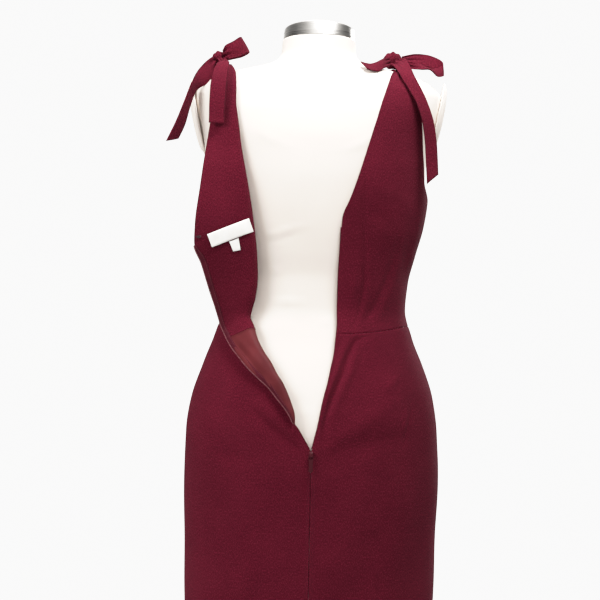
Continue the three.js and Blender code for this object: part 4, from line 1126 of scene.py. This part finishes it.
lacquer, tree, shader = new_material("burgundy_lacquer", roughness=0.55, specular=0.1, coat=0.02,
                                     coat_roughness=0.3)
# pointy edges and spots of this noise turn light pink: worn lacquer, and a painted glint on the slider's and
# pull's edges
wear_and_glint_noise = noise(tree, 900, 4)
edges = put(tree, "ShaderNodeNewGeometry").outputs["Pointiness"]
worn_and_glinting = reckon(tree, "SUBTRACT", reckon(tree, "ADD", edges, wear_and_glint_noise), 0.5)
coloured(tree, shader, worn_and_glinting, (0.30, (0.034, 0.0036, 0.0068)), (0.72, (0.050, 0.006, 0.010)),
         (0.84, (0.30, 0.13, 0.13)))
relief(tree, shader, wear_and_glint_noise, 0.12, 0.0001)
ROUNDING = 0.22  # how far the slider's and the pull's edges are rounded

for node, body in (("zip_slider", DRESS_BODY), ("zip_pull", PULL_BODY)):
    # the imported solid, welded and with its edges broken
    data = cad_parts[node].data.copy()
    data.name = f"{node}_lacquered"
    welded = bmesh.new()
    welded.from_mesh(data)
    bmesh.ops.remove_doubles(welded, verts=welded.verts, dist=1e-6)
    bmesh.ops.dissolve_limit(welded, angle_limit=math.radians(1), verts=welded.verts,
                             edges=welded.edges)
    welded.to_mesh(data)
    welded.free()
    data.materials.clear()
    data.materials.append(lacquer)
    made = bpy.data.objects.new(f"{node}_lacquered", data)
    bpy.context.scene.collection.objects.link(made)
    rounding = made.modifiers.new("rounding", "BEVEL")
    rounding.width = ROUNDING * MM
    rounding.segments = 3
    rounding.limit_method = "ANGLE"
    rounding.angle_limit = math.radians(35)
    data.polygons.foreach_set("use_smooth", np.ones(len(data.polygons), bool))
    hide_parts(node)
    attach(made, body)


# At the top of the left zip edge a small hook of coated wire is sewn on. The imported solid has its
# bends, and here it gets its black coating.
coated, tree, shader = new_material("black_coated_wire", roughness=0.4, specular=0.3, coat=0.1)
chips = noise(tree, 1400, 3)
coloured(tree, shader, chips, (0.55, (0.018, 0.013, 0.015)), (0.8, (0.06, 0.05, 0.05)))
relief(tree, shader, chips, 0.15, 0.0001)
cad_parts["neck_hook"].data.materials.clear()
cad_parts["neck_hook"].data.materials.append(coated)


# The neck label and the size tab: bare white satin ribbon with folded ends, sewn to the facing.
# the corners of each, as x, z: top left, top right, bottom right, bottom left
LABEL = ((-153.6, 1180.5), (-94.4, 1204), (-87.5, 1185.5), (-146.5, 1162.3))
SIZE_TAB = ((-122, 1170.8), (-108.8, 1176), (-105.5, 1159), (-116, 1157))
LABEL_THICK, LABEL_LIFT, TAB_LIFT = 0.6, 1.85, 1.55
label_satin, tree, shader = new_material("white_label_satin", roughness=0.5, specular=0.35, sheen=0.1)
coloured(tree, shader, noise(tree, 90, 3), (0.3, (0.78, 0.75, 0.70)), (0.7, (0.87, 0.85, 0.81)))
relief(tree, shader, weave(tree, 0.0005, 0.3), 0.3, 0.0001)
NEAREST, SMOOTHINGS = 4, 6  # grid points that a place on the facing is read from, rounds of smoothing


def on_facing(x, z):
    """The middle of the turned-out cloth, at places seen from behind."""
    over = facing_rows.reshape(-1, 3)
    away = (over[:, 0] - x.reshape(-1, 1)) ** 2 + (over[:, 2] - z.reshape(-1, 1)) ** 2
    near = np.argsort(away, 1)[:, :NEAREST]
    weight = 1 / (np.take_along_axis(away, near, 1) + 0.05)
    weight /= weight.sum(1, keepdims=True)
    y = (over[near, 1] * weight).sum(1)
    return np.stack([x.ravel(), y, z.ravel()], -1).reshape(*x.shape, 3)


def patch(corners, lift, rows, columns, puff):
    """A ribbon between four corners, smoothed over the facing and raised a little in the middle."""
    a, b, c, d = (np.array(p, float) for p in corners)
    u, v = np.linspace(0, 1, columns)[None, :, None], np.linspace(0, 1, rows)[:, None, None]
    flat = mix(mix(a, b, u), mix(d, c, u), v)
    places = on_facing(flat[..., 0], flat[..., 1])
    smooth = places[..., 1]
    for _ in range(SMOOTHINGS):
        padded = np.pad(smooth, 1, mode="edge")
        smooth = (padded[:-2, 1:-1] + padded[2:, 1:-1] + padded[1:-1, :-2] + padded[1:-1, 2:]) / 4
    middle = (np.sin(np.pi * u) * np.sin(np.pi * v) ** 0.5)[..., 0]
    places[..., 1] = smooth - lift - puff * middle
    return places[:, ::-1]


label_rows = patch(LABEL, LABEL_LIFT, rows=10, columns=30, puff=0.9)
made = sheet_of("neck_label_satin", label_rows, label_satin, LABEL_THICK)
sewn(made, label_rows, "label_cloth", "laid", ["bodice_facing_left_crepe"], "neck_label")
tab_rows = patch(SIZE_TAB, TAB_LIFT, rows=8, columns=8, puff=0.4)
made = sheet_of("size_tab_satin", tab_rows, label_satin, LABEL_THICK)
sewn(made, tab_rows, "label_cloth", "laid", ["bodice_facing_left_crepe"], "size_tab")


# The front, above the waist seam and below it, in the same crepe: a plain V neck between straps
# that match the back's, and a skirt cut in one.
FRONT_POINT = 1285
SEAM_TURN = 0.08  # from the back's side seam to the front's, in degrees
STRAP_X = {1: 112, -1: 123}  # where each strap's neck edge ends
LEFT_ARM_OUT = 7
FRONT_NECK = (("level", "share"), (
    (FRONT_POINT, 0),
    (1318, 0.24),
    (SHOULDER, 0.46),
    (1363, 0.56),
    (1380, 0.72),
    (1400, 0.88),
    (STRAP_END, 1),
))
FRONT_ARMHOLE = (("level", "x"), (
    (ARM_EDGE, 147),
    (1313, 138),
    (SHOULDER, 137),
    (1380, 138),
    (1400, 139),
    (STRAP_END, 140),
))


def front_half(level, t, side):
    """The middle of one half of the bodice's front, with t from its outer edge to the neck."""
    seam = SIDE_RIGHT + SEAM_TURN if side > 0 else 360 + SIDE_LEFT - SEAM_TURN
    z = np.minimum(level, SHOULDER)
    arm_x = read(FRONT_ARMHOLE, "x", np.maximum(level, ARM_EDGE))
    arm_x = arm_x + (side < 0) * LEFT_ARM_OUT * ease(level, ARM_EDGE, SHOULDER)
    swing = ease(level, UNDERARM, ARM_EDGE) ** ARM_CURVE
    outer = mix(seam, 180 - side * angle_at(arm_x, z), swing)
    neck_x = read(FRONT_NECK, "share", level) * STRAP_X[side]
    degrees = mix(outer, 180 - side * angle_at(neck_x, z), t)
    around = around_section(cloth_section(z), degrees, z)
    x = mix(around[..., 0], side * mix(arm_x, neck_x, t), ease(level, FRONT_POINT, SHOULDER))
    over = on_row(level, x, cloth_reach(level, x, FRONT), FRONT)
    return np.where((level <= FRONT_POINT)[..., None], around, over)


FRONT_CREASES = (
    (-2.1, 3.0, ((-62, 1050, 0.9), (-60, 1100, 1), (-62, 1150, 0.8), (-66, 1200, 0.1))),
    (-2.1, 3.0, ((62, 1050, 0.9), (60, 1100, 1), (62, 1150, 0.8), (66, 1200, 0.1))),
    (-2.4, 10.0, ((-120, 1190, 0.1), (-100, 1130, 1), (-70, 1075, 0.4))),
    (-2.1, 10.0, ((122, 1186, 0.1), (104, 1126, 1), (80, 1078, 0.4))),
    (1.8, 8.0, ((-40, 1236, 0.1), (0, 1228, 1), (42, 1238, 0.1))),
    (-1.8, 7.0, ((-46, 1222, 0.1), (2, 1213, 1), (44, 1224, 0.1))),
    (-2.4, 12.0, ((-130, 1000, 0.1), (-70, 985, 0.9), (0, 980, 0.4), (50, 985, 0.1))),
    (2.1, 14.0, ((-120, 968, 0.1), (-40, 952, 0.8), (60, 958, 0.6), (120, 975, 0.1))),
    (-2.7, 20.0, ((-70, 880, 0.1), (-66, 760, 0.8), (-60, 600, 0.8), (-58, 430, 1))),
    (2.7, 24.0, ((-10, 900, 0.1), (-6, 760, 0.8), (0, 600, 0.8), (2, 430, 1))),
    (-2.7, 20.0, ((66, 880, 0.1), (62, 740, 0.8), (64, 580, 0.8), (66, 430, 1))),
    (2.4, 22.0, ((128, 860, 0.1), (122, 700, 0.8), (124, 560, 0.6), (126, 430, 0.9))),
    (2.4, 22.0, ((-128, 860, 0.1), (-124, 700, 0.8), (-126, 560, 0.6), (-130, 430, 0.9))),
    (-1.35, 8.0, ((96, 1330, 0.1), (88, 1290, 0.9), (70, 1250, 0.2))),
    (-1.35, 8.0, ((-102, 1334, 0.1), (-94, 1292, 0.9), (-74, 1252, 0.2))),
)

front_levels = np.concatenate([spaced(WAIST, FRONT_POINT, 4, near_high=False),
                               spaced(FRONT_POINT, SHOULDER, 5, near_low=False, near_high=False)[1:],
                               spaced(SHOULDER, STRAP_END, 2.4, near_low=False)[1:]])[:, None]
half_columns = across(width=140, step=3.0)[None, :]
halves = []
for side in (1, -1):
    grid = front_half(front_levels, half_columns, side)
    normals = grid_normals(grid) * side
    grid = gathers(grid, normals, front_levels, half_columns, height=0.9, folds=3)
    raised = lines(grid, FRONT_CREASES, FRONT) + unevenness(grid, 0.6)
    grid = grid + normals * raised[..., None]
    grid = seamed(grid, normals, "first_row")
    halves.append(seamed(grid, normals, "first_column", SIDE_SEAM))

# the two halves are one cloth: below the neck they share the points of their last column
shared = front_levels[:, 0] <= FRONT_POINT
centre_line = (halves[0][shared, -1] + halves[1][shared, -1]) / 2
halves[0][shared, -1] = halves[1][shared, -1] = centre_line
rows_each, columns_each = halves[0].shape[:2]
count, last = rows_each * columns_each, columns_each - 1
front_points = np.concatenate([half.reshape(-1, 3) for half in halves])
face_right, _ = quads(rows_each, columns_each)
face_left = face_right[:, ::-1] + count
same = {count + row * columns_each + last: row * columns_each + last for row in np.nonzero(shared)[0]}
face_left = np.array([[same.get(point, point) for point in face] for face in face_left.tolist()])
front_flat = np.concatenate([laid_flat(half).reshape(-1, 2) for half in halves])
kept = np.array([point not in same for point in range(len(front_points))])
renumber = np.cumsum(kept) - 1
front_faces = renumber[np.concatenate([face_right, face_left])]
made = cloth("bodice_front_crepe", front_points[kept], front_faces, front_flat[kept], CREPE_THICK, crepe)
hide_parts("bodice_front")
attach(made, DRESS_BODY)

SKIRT_FRONT_COLUMNS = across(width=400, step=3.6)
front_degrees = mix(SIDE_RIGHT + SEAM_TURN, 360 + SIDE_LEFT - SEAM_TURN, SKIRT_FRONT_COLUMNS)[None, :]
front_levels = np.concatenate([np.linspace(HEM, SLIDER, 86)[:-1],
                               spaced(SLIDER, WAIST, 5, near_low=False)])[:, None]
skirt_front = around_section(cloth_section(front_levels), front_degrees,
                             np.broadcast_to(front_levels, (len(front_levels), front_degrees.shape[1])))
skirt_front[-1, :, 2] -= SEAM_GAP
front_normals = grid_normals(skirt_front)
front_calm = ease(WAIST - front_levels, 0, CALM)
raised = lines(skirt_front, FRONT_CREASES, FRONT) + unevenness(skirt_front) * front_calm
skirt_front = skirt_front + front_normals * raised[..., None]
skirt_front = seamed(skirt_front, front_normals, "last_row")
skirt_front = seamed(skirt_front, front_normals, "first_column", SIDE_SEAM)
skirt_front = seamed(skirt_front, front_normals, "last_column", SIDE_SEAM)
skirt_front = hemmed(skirt_front, front_normals)
made = sheet_of("skirt_front_crepe", skirt_front, crepe, CREPE_THICK)
sewn(made, skirt_front, "crepe", "hung", ["form_torso_jersey"], "skirt_front")


# The shoulder ties: sewn tubes of the same crepe, pressed flat, that leave each strap as a saddle
# over the shoulder and are tied in a bow with one loop. Each ribbon is given by rows of its middle
# and half its width, and is drawn into small folds at its knot.
TIE_THICK = 1.9
# each knot: its middle and its half sizes
KNOTS = {
    "left": ((-147, -6, 1449.5), (11, 11.5, 10)),
    "right": ((109.5, -8, 1449.2), (14.5, 12.5, 13.2)),
}
# each ribbon: its gap to the knot, then rows of x, y, z and half the width as x, y, z
TIES = {
    "tie_loop_left": (0.6, (
        (-142, -14, 1452, -1, 0, 6.5),
        (-134, -21, 1456.5, -3, 0, 9.6),
        (-122, -19, 1461.5, -4.5, 0, 11.2),
        (-112.5, -12, 1468, -5.5, 0, 11.8),
        (-109.5, -1, 1470, -6, 0, 11.5),
        (-113, 8, 1468, -6, 0, 11),
        (-122, 10.5, 1463, -5.5, 0, 10.2),
        (-135, 7, 1457.5, -4, 0, 8.4),
        (-138, 3, 1455, -2, 0, 7))),
    "tie_end_side_left": (0.6, (
        (-155, -9, 1447, 5, 2, -8),
        (-159, -20, 1431, 8, 1, -9.5),
        (-169.5, -35, 1415, 8.5, 2, -8.2),
        (-181, -49, 1399, 4.0, 9.5, -3.4),
        (-189.5, -57, 1374, 3.6, 10.8, -1.6),
        (-199, -59, 1344, 4.8, 10.2, -2.4),
        (-212.5, -60, 1314.5, 5, 9.6, -2))),
    "tie_end_back_left": (0.3, (
        (-143, -19, 1444, 6, 0, 0),
        (-138, -34, 1438.5, 6.8, -1, 0),
        (-138.5, -52, 1434, 8.8, -3, 0),
        (-140.5, -71, 1420, 11, -4, 0),
        (-142.5, -88, 1399, 12, -4, 0),
        (-143.5, -97, 1371, 11.9, -4, 0),
        (-144, -101, 1337.5, 11.3, -4, -3.5))),
    "tie_end_short_right": (0.6, (
        (98, -20, 1442, 1, -3, -7),
        (94, -41, 1439, 1.5, -6, -7.5),
        (86, -51, 1433, 1.5, -8, -7.5),
        (76, -57, 1431, 0, -8.5, -6),
        (66, -61, 1432.8, -2, -8.5, -5),
        (58, -64, 1435, -3, -8, -4.5))),
    "tie_loop_right": (0.3, (
        (120, -12, 1448, 0, 5, 5.5),
        (138, -17, 1441.5, 0, 4, 6.5),
        (152, -20, 1438.5, 0, 7, 4.5),
        (164, -20, 1435.5, 0, 9.5, 2.2),
        (175, -16, 1432, 0, 7, 7.5),
        (183.5, -8, 1435.5, 0, 4, 9),
        (183.5, -1, 1441, 0, 2, 10),
        (176, 3, 1447, 0, 3, 10),
        (162, 4, 1452, 0, 4, 10),
        (143, 2, 1453.5, 0, 5, 9),
        (125, -1, 1451.5, 0, 4, 6))),
    "tie_end_back_right": (0.8, (
        (114, -20, 1444, 8, 0, 4.5),
        (120, -33, 1441.5, 9.2, 2, 5.8),
        (125, -54, 1429, 9, 5, 5),
        (132, -70, 1412, 7.8, 4, 5),
        (143, -79, 1391, 7.6, 4, 4),
        (150.5, -83, 1374, 7.9, 4.5, 2.5),
        (158.3, -84, 1350, 8.4, 4.5, 1),
        (163.0, -83, 1320, 8.7, 3.5, 0),
        (165.2, -81, 1292, 8.6, 3, 1),
        (167, -79.5, 1265, 8.2, 2, 5.2))),
}


def along_rows(rows, u):
    """A smooth line through rows of numbers, read at shares of its length."""
    rows = np.asarray(rows, float)
    padded = np.concatenate([[2 * rows[0] - rows[1]], rows, [2 * rows[-1] - rows[-2]]])
    place = np.clip(np.asarray(u), 0, 1) * (len(rows) - 1)
    i = np.minimum(place.astype(int), len(rows) - 2)
    t = (place - i)[..., None]
    p, q, r, s = (padded[i + k] for k in range(4))
    square, cube = 2 * p - 5 * q + 4 * r - s, 3 * q - p - 3 * r + s
    return 0.5 * (2 * q + (r - p) * t + square * t ** 2 + cube * t ** 3)


def seat_on(knot, toward, gap):
    """Where a ribbon leaves its knot, on the way to its next row."""
    middle, size = np.array(knot[0], float), np.array(knot[1], float)
    away = (toward - middle) / np.linalg.norm(toward - middle)
    return middle + away * (1 / np.linalg.norm(away / size) + gap)


RIBBON_STEPS = 70
RIBBON_COLUMNS = np.array(sorted({*np.linspace(-1, 1, 17).tolist(), -0.96, 0.96}))[None, :]
DRAWN_IN = 0.24  # the share of a ribbon, at either end, that its knot draws into folds


def ribbon(rows, gathered, slant=0.0, cup=0.8, folds=2.5, height=1.6):
    """gathered says how strongly each end is drawn into folds, slant how oblique the far end is."""
    u, s = np.linspace(0, 1, RIBBON_STEPS)[:, None], RIBBON_COLUMNS
    reach = u * (1 - slant * (1 + s) / 2 * u ** 3)
    both = along_rows(rows, reach)
    middle, half = both[..., :3], both[..., 3:]
    line = along_rows(rows, u[:, 0])
    ahead = np.gradient(line[:, :3], axis=0)
    normal = np.cross(ahead, line[:, 3:])
    normal /= np.linalg.norm(normal, axis=1, keepdims=True)
    drawn = gathered[0] * (1 - ease(u, 0, DRAWN_IN)) + gathered[1] * ease(u, 1 - DRAWN_IN, 1)
    wave = height * drawn * np.cos(np.pi * folds * s + 0.6) + cup * (1 - s * s)
    wave = wave + 0.5 * np.sin(7 * u + 2 * s) * (1 - drawn)  # what hangs free curls slowly
    return middle + half * s[..., None] + normal[:, None] * wave[..., None]


SLANTS = {
    "tie_end_side_left": 0.06,
    "tie_end_back_left": 0.02,
    "tie_end_short_right": 0.34,
    "tie_end_back_right": 0.02,
}
for name, (gap, rows) in TIES.items():
    side = name.rsplit("_", 1)[1]
    loop = "loop" in name
    rows = np.array(rows, float)
    rows[0, :3] = seat_on(KNOTS[side], rows[1, :3], gap)
    if loop:
        rows[-1, :3] = seat_on(KNOTS[side], rows[-2, :3], gap)
    grid = ribbon(rows, (1, 1 if loop else 0), SLANTS.get(name, 0))
    made = sheet_of(f"{name}_crepe", grid, crepe, TIE_THICK)
    sewn(made, grid, "crepe", "folded" if loop else "hung", [f"tie_knot_{side}_crepe"], name)

# x of each saddle where it leaves the back strap and the front one, and at the top
SADDLES = {"left": (-136, -134, -141), "right": (126, 126, 115.5)}
SADDLE_HALF_ENDS, SADDLE_HALF_SIDES, SADDLE_HALF_TOP = 12.5, 11.5, 9.5
SADDLE_Y, UNDER_KNOT = -4, 1.2


def saddle(back_x, front_x, top_x, under):
    """The rows of the ribbon that runs over the shoulder from strap to strap, under the knot."""
    ends = []
    level = np.array([[STRAP_END + 1.0]])
    for x, facing in ((back_x, BACK), (front_x, FRONT)):
        x = np.array([[float(x)]])
        ends.append(on_row(level, x, cloth_reach(level, x, facing) + 0.5, facing)[0, 0])
    rise = under - UNDER_KNOT
    flanks = [(mix(x, top_x, 0.5), end[1] * 0.76, mix(end[2], rise, 0.8), SADDLE_HALF_SIDES, 0, 0)
              for x, end in zip((back_x, front_x), ends)]
    return np.array([
        (*ends[0], SADDLE_HALF_ENDS, 0, 0),
        flanks[0],
        (top_x, SADDLE_Y, rise, SADDLE_HALF_TOP, 0, 0),
        flanks[1],
        (*ends[1], SADDLE_HALF_ENDS, 0, 0)], float)


for side, places in SADDLES.items():
    middle, size = KNOTS[side]
    grid = ribbon(saddle(*places, middle[2] - size[2]), (1, 1), cup=0.3, folds=3, height=1.1)
    made = sheet_of(f"tie_base_{side}_crepe", grid, crepe, TIE_THICK)
    sewn(made, grid, "crepe", "draped", ["form_torso_jersey"], f"tie_base_{side}")


def knot_rows(middle, size, lean):
    """A pulled-tight knot: a band wrapped round the bow's middle, with folds that follow it."""
    over = np.linspace(0, np.pi, 34)[:, None]
    turn = np.linspace(0, 2 * np.pi, 56, endpoint=False)[None, :]
    ball = np.stack(np.broadcast_arrays(
        np.cos(over), np.sin(over) * np.cos(turn), np.sin(over) * np.sin(turn)), -1)
    belt = np.sin(over) ** 2
    folds = 0.055 * np.cos(9 * over + lean * np.sin(turn) * 2) * belt
    folds = folds + 0.04 * np.sin(3 * turn + 5 * over) * belt
    crossing = 0.09 * np.exp(-((ball[..., 0] - 0.35 * ball[..., 2] * lean) / 0.16) ** 2)
    return np.array(middle) + ball * np.array(size) * (0.98 + folds - crossing * belt)[..., None]


for side, lean in (("left", 1.0), ("right", -0.7)):
    stuffed(f"tie_knot_{side}_crepe", knot_rows(*KNOTS[side], lean), crepe,
            f"tie_knot_{side}")


# Plain pale floor, an even pale surround and four soft lamps: a large one to the camera's left, a
# small one close above the open back, one in front of the dress and one overhead.
floor_paint, tree, shader = new_material("floor_paint", roughness=0.6)
shader.inputs["Base Color"].default_value = (0.7, 0.7, 0.7, 1)
FLOOR_RADIUS, FLOOR_SIDES, FLOOR_Z = 3500, 96, -0.2
turn = np.linspace(0, 2 * np.pi, FLOOR_SIDES, endpoint=False)
disc = np.stack([FLOOR_RADIUS * np.cos(turn), FLOOR_RADIUS * np.sin(turn), 0 * turn + FLOOR_Z], -1)
floor = piece("floor", disc, [list(range(FLOOR_SIDES))], floor_paint)

world = bpy.data.worlds.new("surround")
world.use_nodes = True
bpy.context.scene.world = world
tree = world.node_tree
background = tree.nodes["Background"]
rays = put(tree, "ShaderNodeLightPath")
direction = put(tree, "ShaderNodeTexCoord").outputs["Generated"]
east = put(tree, "ShaderNodeSeparateXYZ", {"Vector": direction}).outputs["X"]
sweep = put(tree, "ShaderNodeMath", {0: east, 1: 0.5, 2: 0.5}, operation="MULTIPLY_ADD").outputs[0]
# what the steel mirrors: a room that is bright before and behind it and dark at either side
room = shades(tree, sweep, (0.04, (0.03, 0.03, 0.03)), (0.12, (0.42, 0.42, 0.42)),
              (0.27, (0.75, 0.75, 0.75)), (0.34, (1.9, 1.9, 1.9)), (0.56, (1.9, 1.9, 1.9)),
              (0.66, (0.75, 0.75, 0.75)), (0.80, (0.42, 0.42, 0.42)), (0.91, (0.04, 0.04, 0.04)))
LIT_BY, SEEN_AS = (0.31, 0.305, 0.30, 1), (1.39, 1.39, 1.385, 1)
lit = put(tree, "ShaderNodeMix", {0: rays.outputs["Is Glossy Ray"], 6: LIT_BY, 7: room}, data_type="RGBA")
colour = put(tree, "ShaderNodeMix", {0: rays.outputs["Is Camera Ray"], 6: lit.outputs[2], 7: SEEN_AS},
             data_type="RGBA")
tree.links.new(colour.outputs[2], background.inputs["Color"])
background.inputs["Strength"].default_value = 1.0

# each lamp: its name, its place, what it aims at, its width and its watts
for lamp, at, aim, wide, watts in (
        ("main_lamp", (-2.5, -1.6, 2.9), (0, 0, 1.25), 1.7, 142),
        ("near_lamp", (0.4, -0.72, 2.5), (0, 0, 1.45), 0.8, 50),
        ("front_lamp", (1.7, 3.0, 2.1), (0, 0, 1.0), 1.0, 90),
        ("top_lamp", (0.2, 0.8, 3.4), (0, 0, 1.0), 2.0, 30)):
    data = bpy.data.lights.new(lamp, "AREA")
    data.shape = "DISK"
    data.size = wide
    data.energy = watts
    made = bpy.data.objects.new(lamp, data)
    bpy.context.scene.collection.objects.link(made)
    # the steel doesn't mirror the large lamp, which would burn out the cap's left half
    made.visible_glossy = lamp != "main_lamp"
    aimed = (Vector(aim) - Vector(at)).to_track_quat("-Z", "Y").to_matrix().to_4x4()
    made.matrix_world = Matrix.Translation(Vector(at)) @ aimed

# The picture keeps dark tones as they are and eases off towards white, as a camera does.
picture = bpy.context.scene.view_settings
picture.view_transform = "Standard"
picture.use_curve_mapping = True
curves = picture.curve_mapping
WHITE = 1.6
curves.white_level = (WHITE, WHITE, WHITE)
ALL_COLOURS = 3  # the curve that bends red, green and blue together
for light, shown in ((0.25, 0.25), (0.5, 0.5), (0.7, 0.67), (0.85, 0.76), (1.0, 0.84), (1.2, 0.91),
                     (1.4, 0.955)):
    curves.curves[ALL_COLOURS].points.new(light / WHITE, shown)
curves.update()
